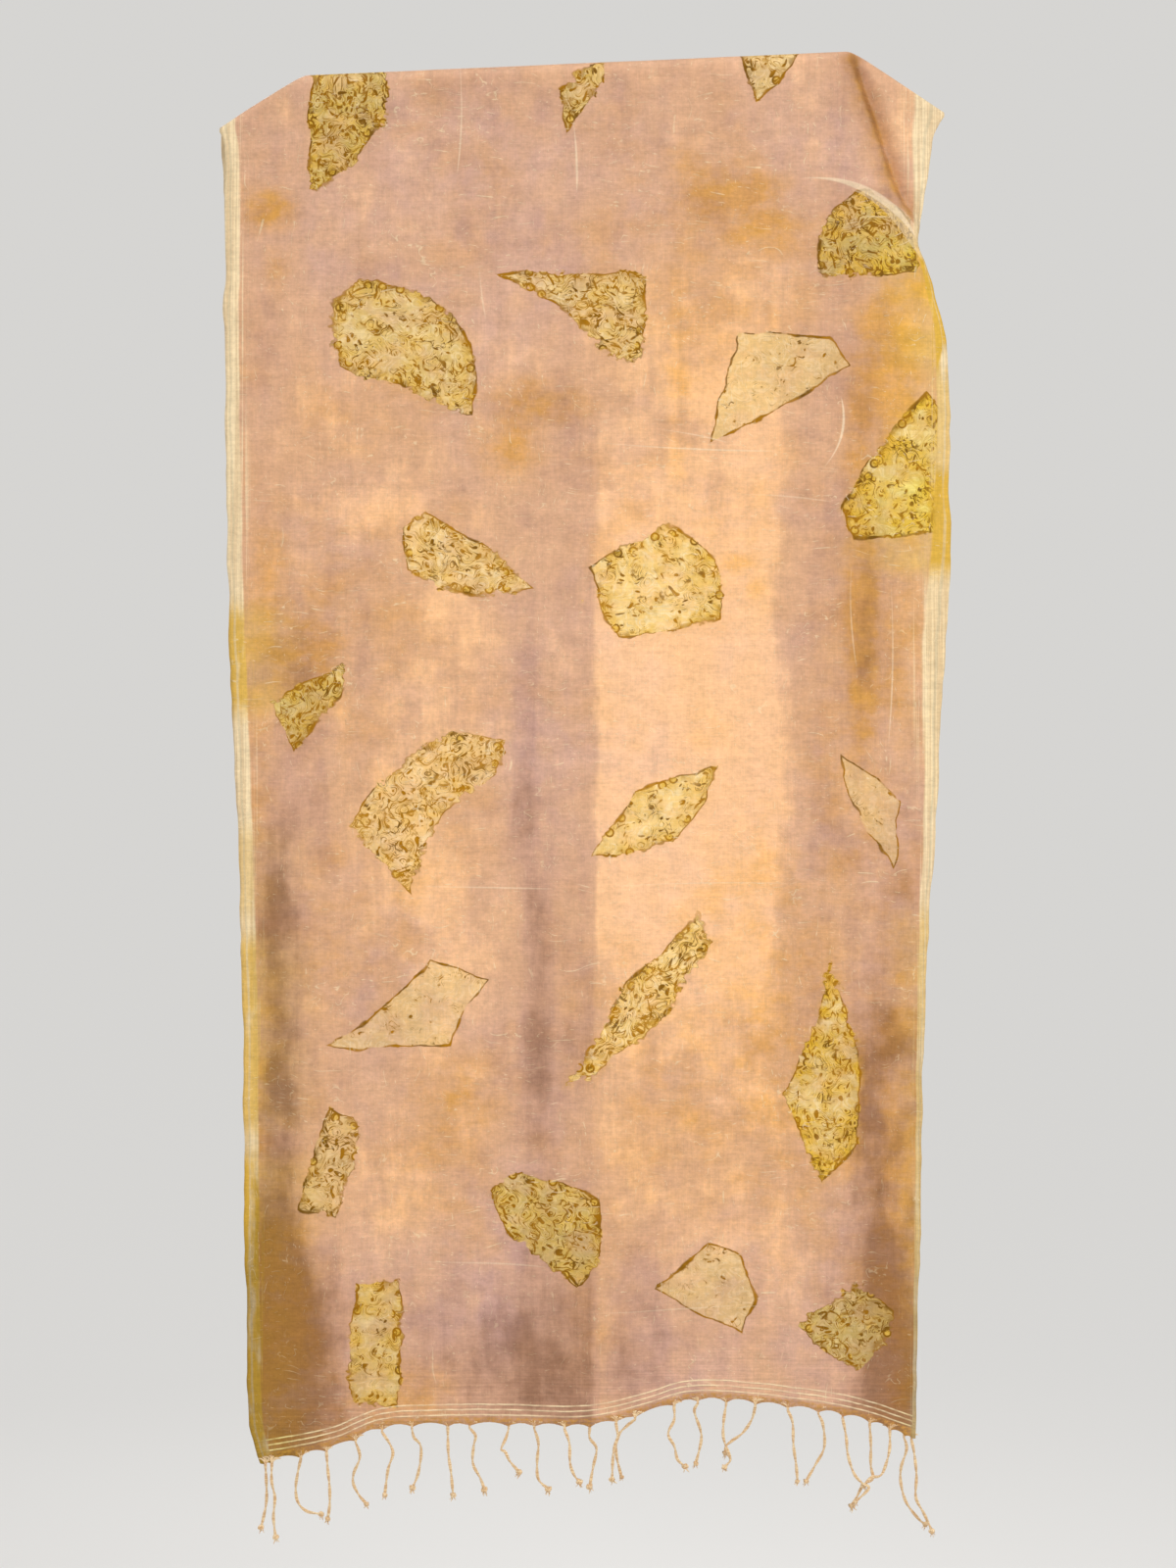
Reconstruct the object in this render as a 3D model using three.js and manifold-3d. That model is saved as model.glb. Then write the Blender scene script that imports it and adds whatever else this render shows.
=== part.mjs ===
// Eco printed silk stole draped over a plain round bar. Millimetres, +Z up, front half facing -Y.
// The origin is the middle of the bar's flat underside, where a stand or a bracket holds it.

import * as THREE from 'three';
import Module from 'manifold-3d';
import { mergeVertices } from 'three/addons/utils/BufferGeometryUtils.js';

const wasm = await Module();
wasm.setup();

const { clamp, degToRad, lerp, smoothstep } = THREE.MathUtils;

// Neighbouring pieces lie this far apart.
const PIECE_GAP = 0.3;

// Bar
const BAR_LENGTH = 394;
const BAR_RADIUS = 10;
const BAR_CHAMFER = 2.5;
const BAR_SIDES = 16;
const BAR_FACET = (2 * Math.PI) / BAR_SIDES;
const BAR_TILT = degToRad(2.5);
const BAR_FLAT_TO_AXIS = BAR_RADIUS * Math.cos(BAR_FACET / 2);

// Cloth: over the bar it follows the bar's flats, one gap away.
const CLOTH_THICKNESS = 1.2;
const FOLD_RADIUS = (BAR_FLAT_TO_AXIS + PIECE_GAP + CLOTH_THICKNESS / 2) / Math.cos(BAR_FACET / 2);
const STRAIGHT_HALF = BAR_LENGTH / 2 + 3;
const HANG_GAP = 12;
const HANG_SETTLE = 150;
const FOLD_FADE_IN = [-0.05, 0.35];
const FOLD_FADE_OUT = [0.9, 1.3];

// An edge's sideways shift keeps to the cloth beside it near the top, and spreads over the width further down.
const EDGE_FOCUS = 5;
const EDGE_SPREAD_DROP = 400;

// Where the right selvedge turns edge on, the cloth beside it crowds up and lies closer to the other half.
const TURN_CROWDING = 0.55;
const TURN_CROWDING_POWER = 14;
const TURN_DEPTH = 7;
const TURN_DEPTH_POWER = 24;

// Corners: past the bar the fold line droops and the two halves close up.
const LEFT_CORNER = { overhang: 77, droop: degToRad(32.5) };
const RIGHT_CORNER = { overhang: 86, droop: degToRad(34) };
const CORNER_BEND = 6;
const CORNER_FOLD_RADIUS = 3;
const CORNER_CLOSING = 30;

// Fringe
const STRIP_HEIGHT = 6;
const STRAND_RADIUS = 1.3;
const STRAND_SIDES = 4;
const STRAND_STEPS = 7;
const STRAND_SINK = 3;
const KNOT_RADIUS = 2.4;
const KNOT_LENGTH = 6;
const STRAND_DEPTH = 4;
const ROOT_SEARCH_STEP = 0.01;

// Mesh fineness
const BAR_COLUMNS = 15;
const CORNER_COLUMNS = 7;
const FRONT_ROWS = 28;
const BACK_ROWS = 24;
const COLUMN_CROWDING = 1.3;
const ROW_CROWDING = 0.08;
const MERGE_DISTANCE = 1e-4;

// Front half. An edge row gives how far below the corner, and how far from the bar's middle, it hangs.
const FRONT = {
  side: -1,
  leftEdge: [
    { drop: 0, across: -267 },
    { drop: 14, across: -263.5 },
    { drop: 200, across: -262 },
    { drop: 344, across: -259.5 },
    { drop: 489, across: -254 },
    { drop: 634, across: -249 },
    { drop: 852, across: -246.5 },
    { drop: 945, across: -245 },
    { drop: 972, across: -242.5 },
    { drop: 993, across: -234 },
  ],
  rightEdge: [
    { drop: 0, across: 271 },
    { drop: 24, across: 262 },
    { drop: 70, across: 256 },
    { drop: 96, across: 252.5 },
    { drop: 112, across: 258 },
    { drop: 139, across: 265.5 },
    { drop: 170, across: 273 },
    { drop: 283, across: 275 },
    { drop: 345, across: 274.5 },
    { drop: 486, across: 267 },
    { drop: 609, across: 259 },
    { drop: 754, across: 254 },
    { drop: 964, across: 250 },
    { drop: 984, across: 248 },
  ],
  // How far the right selvedge is turned edge on, below the corner.
  rightTurn: [
    { drop: 40, turn: 0 },
    { drop: 105, turn: 1 },
    { drop: 180, turn: 0.45 },
    { drop: 420, turn: 0 },
  ],
  // The fringe line's height at each share of the width.
  hem: [
    { share: 0, height: -1019 },
    { share: 0.14, height: -1007 },
    { share: 0.21, height: -994 },
    { share: 0.3, height: -991 },
    { share: 0.5, height: -991 },
    { share: 0.58, height: -983 },
    { share: 0.66, height: -973 },
    { share: 0.8, height: -978 },
    { share: 0.9, height: -986 },
    { share: 1, height: -1000 },
  ],
  // Soft folds: out is away from the other half, and a fold runs from its top point to its low point.
  folds: [
    { topAcross: 204, topDrop: 6, lowAcross: 258, lowDrop: 135, bow: -4, halfWidth: 10, out: -4.5 },
    { topAcross: 232, topDrop: 30, lowAcross: 262, lowDrop: 135, bow: -2, halfWidth: 13, out: 4 },
    { topAcross: 196, topDrop: 95, lowAcross: 240, lowDrop: 130, bow: 2, halfWidth: 12, out: 3 },
    { topAcross: 16, topDrop: 230, lowAcross: 12, lowDrop: 1010, bow: 0, halfWidth: 44, out: 6 },
    { topAcross: -46, topDrop: 200, lowAcross: -40, lowDrop: 1010, bow: -6, halfWidth: 38, out: -4.5 },
    { topAcross: 128, topDrop: 330, lowAcross: 118, lowDrop: 900, bow: 6, halfWidth: 46, out: -4 },
    { topAcross: 190, topDrop: 300, lowAcross: 186, lowDrop: 960, bow: 4, halfWidth: 36, out: 5 },
    { topAcross: -205, topDrop: 480, lowAcross: -200, lowDrop: 1000, bow: 2, halfWidth: 30, out: 4.5 },
    { topAcross: -158, topDrop: 420, lowAcross: -150, lowDrop: 900, bow: 0, halfWidth: 34, out: -3.5 },
    { topAcross: 64, topDrop: 820, lowAcross: 70, lowDrop: 1000, bow: 0, halfWidth: 22, out: -3 },
  ],
  // Strands: root across, then the bend and the tip from the root, across and down.
  strands: [
    { root: -231.3, bendAcross: -1, bendDown: 26, tipAcross: -4, tipDown: 48 },
    { root: -226.5, bendAcross: 2, bendDown: 24, tipAcross: 3, tipDown: 55 },
    { root: -205, bendAcross: -2, bendDown: 30, tipAcross: 14, tipDown: 43 },
    { root: -186, bendAcross: 2, bendDown: 22, tipAcross: 1, tipDown: 49 },
    { root: -164.6, bendAcross: -2, bendDown: 28, tipAcross: 7, tipDown: 48 },
    { root: -145, bendAcross: 7, bendDown: 18, tipAcross: 1.5, tipDown: 48 },
    { root: -123, bendAcross: 6, bendDown: 18, tipAcross: -1, tipDown: 46 },
    { root: -96.5, bendAcross: 0.5, bendDown: 26, tipAcross: 3.5, tipDown: 50 },
    { root: -80.5, bendAcross: 4, bendDown: 22, tipAcross: 12, tipDown: 47 },
    { root: -51.5, bendAcross: -5, bendDown: 17, tipAcross: 8.5, tipDown: 34 },
    { root: -32.5, bendAcross: 3, bendDown: 30, tipAcross: 11, tipDown: 46 },
    { root: -10, bendAcross: 4, bendDown: 24, tipAcross: 11, tipDown: 39 },
    { root: 8.5, bendAcross: 6, bendDown: 18, tipAcross: 1, tipDown: 44 },
    { root: 28, bendAcross: -3, bendDown: 24, tipAcross: -4, tipDown: 45 },
    { root: 42, bendAcross: -11, bendDown: 20, tipAcross: -8, tipDown: 44 },
    { root: 71, bendAcross: -4.5, bendDown: 22, tipAcross: 8.5, tipDown: 44 },
    { root: 88.5, bendAcross: 4.5, bendDown: 26, tipAcross: 0.5, tipDown: 46 },
    { root: 109.5, bendAcross: 4.5, bendDown: 30, tipAcross: 1, tipDown: 47 },
    { root: 131, bendAcross: -7, bendDown: 22, tipAcross: -21, tipDown: 36 },
    { root: 155, bendAcross: 2.5, bendDown: 24, tipAcross: 5, tipDown: 54 },
    { root: 177.5, bendAcross: 2.5, bendDown: 26, tipAcross: -8, tipDown: 52 },
    { root: 195.5, bendAcross: 3.5, bendDown: 26, tipAcross: 13, tipDown: 50 },
    { root: 215.5, bendAcross: 1, bendDown: 26, tipAcross: -4, tipDown: 52 },
    { root: 230.5, bendAcross: -3, bendDown: 24, tipAcross: -10, tipDown: 56 },
    { root: 241, bendAcross: -3, bendDown: 36, tipAcross: 12, tipDown: 66 },
    { root: 246.5, bendAcross: 2, bendDown: 34, tipAcross: 14, tipDown: 68 },
  ],
};

// Back half: it hangs shorter, so that its fringe stays behind the front half.
// Its strands stray from an even row by waves whose steps from strand to strand never fall in line.
const BACK_FRINGE = {
  count: 26, from: -235, to: 236, stray: 3, strayStep: 2.3, bend: 4, bendStep: 1.7, bendDown: 22,
  sway: 6, swayStep: 2.9, length: 45, uneven: 5, unevenStep: 1.3,
};
const BACK = {
  side: 1,
  leftEdge: [
    { drop: 0, across: -267 },
    { drop: 120, across: -259 },
    { drop: 480, across: -250 },
    { drop: 900, across: -240 },
  ],
  rightEdge: [
    { drop: 0, across: 271 },
    { drop: 120, across: 259 },
    { drop: 480, across: 252 },
    { drop: 900, across: 241 },
  ],
  rightTurn: [
    { drop: 0, turn: 0 },
    { drop: 420, turn: 0 },
  ],
  hem: [
    { share: 0, height: -917 },
    { share: 0.2, height: -902 },
    { share: 0.5, height: -896 },
    { share: 0.8, height: -900 },
    { share: 1, height: -914 },
  ],
  folds: [
    { topAcross: -120, topDrop: 180, lowAcross: -128, lowDrop: 910, bow: 4, halfWidth: 40, out: 5 },
    { topAcross: -30, topDrop: 260, lowAcross: -22, lowDrop: 910, bow: -4, halfWidth: 42, out: -4 },
    { topAcross: 70, topDrop: 220, lowAcross: 62, lowDrop: 910, bow: 4, halfWidth: 44, out: 5.5 },
    { topAcross: 160, topDrop: 300, lowAcross: 168, lowDrop: 910, bow: 0, halfWidth: 38, out: -4 },
  ],
  strands: Array.from({ length: BACK_FRINGE.count }, (_, i) => ({
    root: lerp(BACK_FRINGE.from, BACK_FRINGE.to, i / (BACK_FRINGE.count - 1))
      + BACK_FRINGE.stray * Math.sin(i * BACK_FRINGE.strayStep),
    bendAcross: BACK_FRINGE.bend * Math.sin(i * BACK_FRINGE.bendStep),
    bendDown: BACK_FRINGE.bendDown,
    tipAcross: BACK_FRINGE.sway * Math.sin(i * BACK_FRINGE.swayStep),
    tipDown: BACK_FRINGE.length + BACK_FRINGE.uneven * Math.cos(i * BACK_FRINGE.unevenStep),
  })),
};

// A smooth curve through a table's rows, as a function from one column to another.
function through(table, from, to) {
  const last = table.length - 1;
  const slopes = table.map((_, i) => {
    const before = table[Math.max(i - 1, 0)];
    const after = table[Math.min(i + 1, last)];
    return (after[to] - before[to]) / (after[from] - before[from]);
  });
  return (at) => {
    let i = 0;
    while (i < last - 1 && at > table[i + 1][from]) i += 1;
    const span = table[i + 1][from] - table[i][from];
    const t = clamp((at - table[i][from]) / span, 0, 1);
    const rise = t * t * (3 - 2 * t);
    return lerp(table[i][to], table[i + 1][to], rise)
      + span * t * (1 - t) * (slopes[i] * (1 - t) - slopes[i + 1] * t);
  };
}

for (const half of [FRONT, BACK]) {
  half.leftAt = through(half.leftEdge, 'drop', 'across');
  half.rightAt = through(half.rightEdge, 'drop', 'across');
  half.turnAt = through(half.rightTurn, 'drop', 'turn');
  half.hemAt = through(half.hem, 'share', 'height');
}

const FOLD_LINE_START = -STRAIGHT_HALF - LEFT_CORNER.overhang;
const FOLD_LINE_END = STRAIGHT_HALF + RIGHT_CORNER.overhang;
const shareAt = (along) => (along - FOLD_LINE_START) / (FOLD_LINE_END - FOLD_LINE_START);

// The top of the fold: straight over the bar, drooping past its ends, with the radius of the fold there.
function foldLine(along) {
  const way = Math.sign(along);
  const past = Math.max(Math.abs(along) - STRAIGHT_HALF, 0);
  const { droop } = way < 0 ? LEFT_CORNER : RIGHT_CORNER;
  const bend = (CORNER_BEND * past) / (past + CORNER_BEND);
  const reach = past * Math.cos(droop) + (1 - Math.cos(droop)) * bend;
  const fall = Math.sin(droop) * (past - bend) - way * Math.sin(BAR_TILT) * bend;
  const straight = clamp(along, -STRAIGHT_HALF, STRAIGHT_HALF);
  const above = BAR_FLAT_TO_AXIS + FOLD_RADIUS;
  return {
    x: straight * Math.cos(BAR_TILT) - above * Math.sin(BAR_TILT) + way * reach,
    z: straight * Math.sin(BAR_TILT) + above * Math.cos(BAR_TILT) - fall,
    radius: lerp(CORNER_FOLD_RADIUS, FOLD_RADIUS, Math.exp(-past / CORNER_CLOSING)),
  };
}

const LEFT_TIP = foldLine(FOLD_LINE_START);
const RIGHT_TIP = foldLine(FOLD_LINE_END);

// How far a half's soft folds stand out at a place.
function foldsOut(half, across, drop) {
  let out = 0;
  for (const fold of half.folds) {
    const t = (drop - fold.topDrop) / (fold.lowDrop - fold.topDrop);
    const inside = clamp(t, 0, 1);
    const line = lerp(fold.topAcross, fold.lowAcross, inside) + fold.bow * 4 * inside * (1 - inside);
    const fade = smoothstep(t, ...FOLD_FADE_IN) * (1 - smoothstep(t, ...FOLD_FADE_OUT));
    out += fold.out * fade * Math.exp(-(((across - line) / fold.halfWidth) ** 2));
  }
  return out;
}

// A point of the cloth's middle surface below the fold, at a height under the fold line.
function hangingPoint(half, along, drop) {
  const fold = foldLine(along);
  const share = shareAt(along);
  const local = 1 + EDGE_FOCUS * (1 - smoothstep(drop, 0, EDGE_SPREAD_DROP));
  const z = fold.z - drop;
  const leftShift = half.leftAt(Math.max(LEFT_TIP.z - z, 0)) - half.leftAt(0);
  const rightShift = half.rightAt(Math.max(RIGHT_TIP.z - z, 0)) - half.rightAt(0);
  const turn = half.turnAt(RIGHT_TIP.z - z);
  const crowding = TURN_CROWDING * turn * share ** TURN_CROWDING_POWER * (1 - share)
    * (FOLD_LINE_END - FOLD_LINE_START);
  const x = fold.x + leftShift * (1 - share) ** local + rightShift * share ** local + crowding;
  const settled = smoothstep(drop, fold.radius, HANG_SETTLE);
  const apart = lerp(fold.radius, HANG_GAP, settled) + foldsOut(half, x, drop)
    - TURN_DEPTH * turn * share ** TURN_DEPTH_POWER;
  return new THREE.Vector3(x, half.side * Math.max(apart, CORNER_FOLD_RADIUS), z);
}

// A point of the fold's half circle: angle 0 is its top and a right angle the back.
function foldPoint(along, angle) {
  const { x, z, radius } = foldLine(along);
  return new THREE.Vector3(x, radius * Math.sin(angle), z - radius * (1 - Math.cos(angle)));
}

// A point a height above a half's fringe line.
function hemPoint(half, along, above) {
  return hangingPoint(half, along, foldLine(along).z - half.hemAt(shareAt(along)) - above);
}

// How far along the fold line the cloth hangs that meets the fringe line at a distance across.
function alongAtHem(half, across) {
  let low = FOLD_LINE_START;
  let high = FOLD_LINE_END;
  while (high - low > ROOT_SEARCH_STEP) {
    const middle = (low + high) / 2;
    if (hemPoint(half, middle, 0).x < across) low = middle;
    else high = middle;
  }
  return low;
}

// The places of the columns of points: close together past the bar's ends, where the cloth bends.
function columnPlaces() {
  const places = [];
  for (let i = 0; i < CORNER_COLUMNS; i += 1) {
    const past = (1 - i / CORNER_COLUMNS) ** COLUMN_CROWDING;
    places.push(-STRAIGHT_HALF - LEFT_CORNER.overhang * past);
  }
  for (let i = 0; i <= BAR_COLUMNS; i += 1) {
    places.push(lerp(-STRAIGHT_HALF, STRAIGHT_HALF, i / BAR_COLUMNS));
  }
  for (let i = 1; i <= CORNER_COLUMNS; i += 1) {
    places.push(STRAIGHT_HALF + RIGHT_CORNER.overhang * (i / CORNER_COLUMNS) ** COLUMN_CROWDING);
  }
  return places;
}

// A closed sheet of the cloth's thickness about a grid of points of its middle surface.
function sheetGeometry(grid) {
  const rows = grid.length;
  const columns = grid[0].length;
  const positions = [];
  for (const face of [1, -1]) {
    grid.forEach((row, r) => row.forEach((point, c) => {
      const across = row[Math.min(c + 1, columns - 1)].clone().sub(row[Math.max(c - 1, 0)]);
      const up = grid[Math.min(r + 1, rows - 1)][c].clone().sub(grid[Math.max(r - 1, 0)][c]);
      const normal = across.cross(up).normalize();
      positions.push(...point.clone().addScaledVector(normal, (face * CLOTH_THICKNESS) / 2));
    }));
  }
  const outer = (r, c) => r * columns + c;
  const inner = (r, c) => rows * columns + outer(r, c);
  const triangles = [];
  const quad = (a, b, c, d) => triangles.push(a, b, c, a, c, d);
  for (let r = 0; r < rows - 1; r += 1) {
    for (let c = 0; c < columns - 1; c += 1) {
      quad(outer(r, c), outer(r, c + 1), outer(r + 1, c + 1), outer(r + 1, c));
      quad(inner(r, c), inner(r + 1, c), inner(r + 1, c + 1), inner(r, c + 1));
    }
    quad(outer(r, 0), outer(r + 1, 0), inner(r + 1, 0), inner(r, 0));
    const right = columns - 1;
    quad(outer(r, right), inner(r, right), inner(r + 1, right), outer(r + 1, right));
  }
  for (let c = 0; c < columns - 1; c += 1) {
    quad(outer(0, c), inner(0, c), inner(0, c + 1), outer(0, c + 1));
    const end = rows - 1;
    quad(outer(end, c), outer(end, c + 1), inner(end, c + 1), inner(end, c));
  }
  const geometry = new THREE.BufferGeometry();
  geometry.setAttribute('position', new THREE.Float32BufferAttribute(positions, 3));
  geometry.setIndex(triangles);
  return geometry;
}

// The stole's cloth: up the front half, over the bar and down the back half. Rows lie closer at both ends.
function stoleGeometry() {
  const places = columnPlaces();
  const hangingRow = (half, t) => places.map((along) => {
    const fold = foldLine(along);
    const full = fold.z - half.hemAt(shareAt(along)) - STRIP_HEIGHT - PIECE_GAP;
    return hangingPoint(half, along, lerp(fold.radius, full, t - ROW_CROWDING * Math.sin(2 * Math.PI * t)));
  });
  const grid = [];
  for (let i = FRONT_ROWS; i > 0; i -= 1) grid.push(hangingRow(FRONT, i / FRONT_ROWS));
  for (let i = 0; i <= BAR_SIDES / 2 + 1; i += 1) {
    const angle = clamp((i - 0.5) * BAR_FACET - Math.PI / 2, -Math.PI / 2, Math.PI / 2);
    grid.push(places.map((along) => foldPoint(along, angle)));
  }
  for (let i = 1; i <= BACK_ROWS; i += 1) grid.push(hangingRow(BACK, i / BACK_ROWS));
  return sheetGeometry(grid);
}

// One twisted strand, thicker at the knot that ends it.
function strandGeometry(points) {
  const curve = new THREE.CatmullRomCurve3(points);
  const knotShare = KNOT_LENGTH / curve.getLength();
  const shares = [];
  for (let i = 0; i < STRAND_STEPS; i += 1) shares.push(((1 - knotShare) * i) / (STRAND_STEPS - 1));
  shares.push(1 - knotShare / 2, 1);
  const positions = [];
  shares.forEach((share, i) => {
    const centre = curve.getPointAt(share);
    const ahead = curve.getTangentAt(share);
    const side = new THREE.Vector3(0, 1, 0).cross(ahead).normalize();
    const front = ahead.clone().cross(side);
    const radius = i === shares.length - 2 ? KNOT_RADIUS : STRAND_RADIUS;
    for (let s = 0; s < STRAND_SIDES; s += 1) {
      const turn = (2 * Math.PI * s) / STRAND_SIDES;
      const point = centre.clone().addScaledVector(side, radius * Math.cos(turn));
      positions.push(...point.addScaledVector(front, radius * Math.sin(turn)));
    }
  });
  const corner = (ring, s) => ring * STRAND_SIDES + (s % STRAND_SIDES);
  const triangles = [];
  for (let ring = 0; ring < shares.length - 1; ring += 1) {
    for (let s = 0; s < STRAND_SIDES; s += 1) {
      triangles.push(corner(ring, s), corner(ring, s + 1), corner(ring + 1, s + 1));
      triangles.push(corner(ring, s), corner(ring + 1, s + 1), corner(ring + 1, s));
    }
  }
  const end = shares.length - 1;
  for (let s = 1; s < STRAND_SIDES - 1; s += 1) {
    triangles.push(corner(0, 0), corner(0, s + 1), corner(0, s));
    triangles.push(corner(end, 0), corner(end, s), corner(end, s + 1));
  }
  const geometry = new THREE.BufferGeometry();
  geometry.setAttribute('position', new THREE.Float32BufferAttribute(positions, 3));
  geometry.setIndex(triangles);
  return geometry;
}

function toManifold(geometry) {
  const merged = mergeVertices(geometry, MERGE_DISTANCE);
  return new wasm.Manifold(new wasm.Mesh({
    numProp: 3,
    vertProperties: new Float32Array(merged.attributes.position.array),
    triVerts: new Uint32Array(merged.index.array),
  }));
}

function fromManifold(solid) {
  const { vertProperties, triVerts } = solid.getMesh();
  const geometry = new THREE.BufferGeometry();
  geometry.setAttribute('position', new THREE.BufferAttribute(vertProperties, 3));
  geometry.setIndex(new THREE.BufferAttribute(triVerts, 1));
  return geometry;
}

// A fringe: the last narrow strip of the cloth with the strands' roots fused into it.
function fringeGeometry(half) {
  const heights = half.side < 0 ? [0, STRIP_HEIGHT] : [STRIP_HEIGHT, 0];
  const grid = heights.map((above) => columnPlaces().map((along) => hemPoint(half, along, above)));
  let fringe = toManifold(sheetGeometry(grid));
  half.strands.forEach((strand, i) => {
    const root = hemPoint(half, alongAtHem(half, strand.root), 0);
    const depth = half.side * (i % 2 ? STRAND_DEPTH : -STRAND_DEPTH);
    const points = [
      root.clone().add(new THREE.Vector3(0, 0, STRAND_SINK)),
      root,
      root.clone().add(new THREE.Vector3(strand.bendAcross, depth / 2, -strand.bendDown)),
      root.clone().add(new THREE.Vector3(strand.tipAcross, depth, -strand.tipDown)),
    ];
    fringe = fringe.add(toManifold(strandGeometry(points)));
  });
  return fromManifold(fringe);
}

// The round bar, with chamfered ends and one of its flats underneath.
function barMesh() {
  const end = BAR_LENGTH / 2;
  const profile = [
    [0, -end],
    [BAR_RADIUS - BAR_CHAMFER, -end],
    [BAR_RADIUS, -end + BAR_CHAMFER],
    [BAR_RADIUS, end - BAR_CHAMFER],
    [BAR_RADIUS - BAR_CHAMFER, end],
    [0, end],
  ].map(([radius, along]) => new THREE.Vector2(radius, along));
  const geometry = new THREE.LatheGeometry(profile, BAR_SIDES, BAR_FACET / 2);
  geometry.rotateZ(Math.PI / 2);
  const mesh = new THREE.Mesh(geometry, new THREE.MeshStandardMaterial({
    color: 0x9a7448, roughness: 0.6, metalness: 0,
  }));
  mesh.position.set(-BAR_FLAT_TO_AXIS * Math.sin(BAR_TILT), 0, BAR_FLAT_TO_AXIS * Math.cos(BAR_TILT));
  mesh.rotation.y = -BAR_TILT;
  return mesh;
}

const silk = new THREE.MeshStandardMaterial({ color: 0xe1b99b, roughness: 0.45, metalness: 0 });
const yarn = new THREE.MeshStandardMaterial({ color: 0xe0c79a, roughness: 0.7, metalness: 0 });

const pieces = {
  bar: barMesh(),
  stole: new THREE.Mesh(stoleGeometry(), silk),
  fringe_front: new THREE.Mesh(fringeGeometry(FRONT), yarn),
  fringe_back: new THREE.Mesh(fringeGeometry(BACK), yarn),
};

const group = new THREE.Group();
for (const [name, mesh] of Object.entries(pieces)) {
  mesh.name = name;
  group.add(mesh);
}

export default group;
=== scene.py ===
"""Eco printed silk stole over a plain round bar: the finished cloth, fringes and bar around the CAD frame."""

import math
from functools import reduce

import bmesh
import bpy
import numpy as np
from bpy.props import FloatProperty, FloatVectorProperty, IntProperty, PointerProperty
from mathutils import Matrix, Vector


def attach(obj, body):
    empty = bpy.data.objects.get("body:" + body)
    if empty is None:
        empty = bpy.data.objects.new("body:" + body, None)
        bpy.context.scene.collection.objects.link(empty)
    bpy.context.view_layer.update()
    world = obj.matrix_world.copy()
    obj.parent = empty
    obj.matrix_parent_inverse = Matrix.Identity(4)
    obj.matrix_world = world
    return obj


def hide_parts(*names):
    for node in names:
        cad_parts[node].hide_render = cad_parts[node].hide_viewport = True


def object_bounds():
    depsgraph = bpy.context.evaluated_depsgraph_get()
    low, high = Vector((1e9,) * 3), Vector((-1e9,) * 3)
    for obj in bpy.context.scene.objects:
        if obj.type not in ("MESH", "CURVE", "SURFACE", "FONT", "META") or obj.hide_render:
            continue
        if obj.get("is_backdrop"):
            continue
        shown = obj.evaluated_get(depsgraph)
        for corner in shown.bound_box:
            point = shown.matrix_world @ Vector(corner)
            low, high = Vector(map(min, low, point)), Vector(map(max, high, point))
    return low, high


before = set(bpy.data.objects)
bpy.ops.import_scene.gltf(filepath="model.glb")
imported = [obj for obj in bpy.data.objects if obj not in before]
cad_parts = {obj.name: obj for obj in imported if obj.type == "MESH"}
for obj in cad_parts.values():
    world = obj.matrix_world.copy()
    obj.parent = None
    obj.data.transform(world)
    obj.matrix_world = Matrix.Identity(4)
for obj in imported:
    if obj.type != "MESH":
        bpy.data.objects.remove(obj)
CAD_BOX = [list(corner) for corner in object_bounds()]

bl_info = {
    "name": "Eco Printed Silk Stole",
    "version": (1, 0, 0),
    "blender": (4, 5, 0),
    "location": "View3D > Sidebar > Stole",
    "description": "Drapes a plant printed silk stole over a bar, with selvedges, hem lines and fringes",
    "category": "Object",
}

# Sizes in this file are in millimetres where a name doesn't say otherwise; meshes are made in metres.
MM = 0.001

# The bar and the fold over it, as in the CAD.
BAR_LENGTH = 394
BAR_RADIUS = 10
BAR_TILT = math.radians(2.5)
BAR_FLAT_TO_AXIS = BAR_RADIUS * math.cos(math.pi / 16)
FOLD_RADIUS = 10.917
STRAIGHT_HALF = 200
LEFT_OVERHANG = 77
LEFT_DROOP = math.radians(32.5)
RIGHT_OVERHANG = 86
RIGHT_DROOP = math.radians(34)
CORNER_BEND = 6
CORNER_FOLD_RADIUS = 3
CORNER_CLOSING = 30
FOLD_START = -STRAIGHT_HALF - LEFT_OVERHANG
FOLD_END = STRAIGHT_HALF + RIGHT_OVERHANG
HANG_GAP = 12
HANG_SETTLE = 150

# By the fold a selvedge's way in or out moves only the cloth beside it, and from EDGE_PULL_DEPTH down all of
# the width. Where the right selvedge turns in, the cloth beside it crowds outwards and stands out less.
EDGE_PULL = 5
EDGE_PULL_DEPTH = 400
CROWDING = 0.55
CROWDING_POWER = 14
TURNED_IN = 7
TURNED_POWER = 24

# The cloth is finely divided outside these two places across, where it creases.
CREASED_LEFT = -195
CREASED_RIGHT = 190

# The cloth ends above the fringe line by this much at a root, and between two roots by a share of their gap.
ROOT_RISE = 0.8
SCALLOP_SHARE = 0.16
SCALLOP_MOST = 3.6

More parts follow.
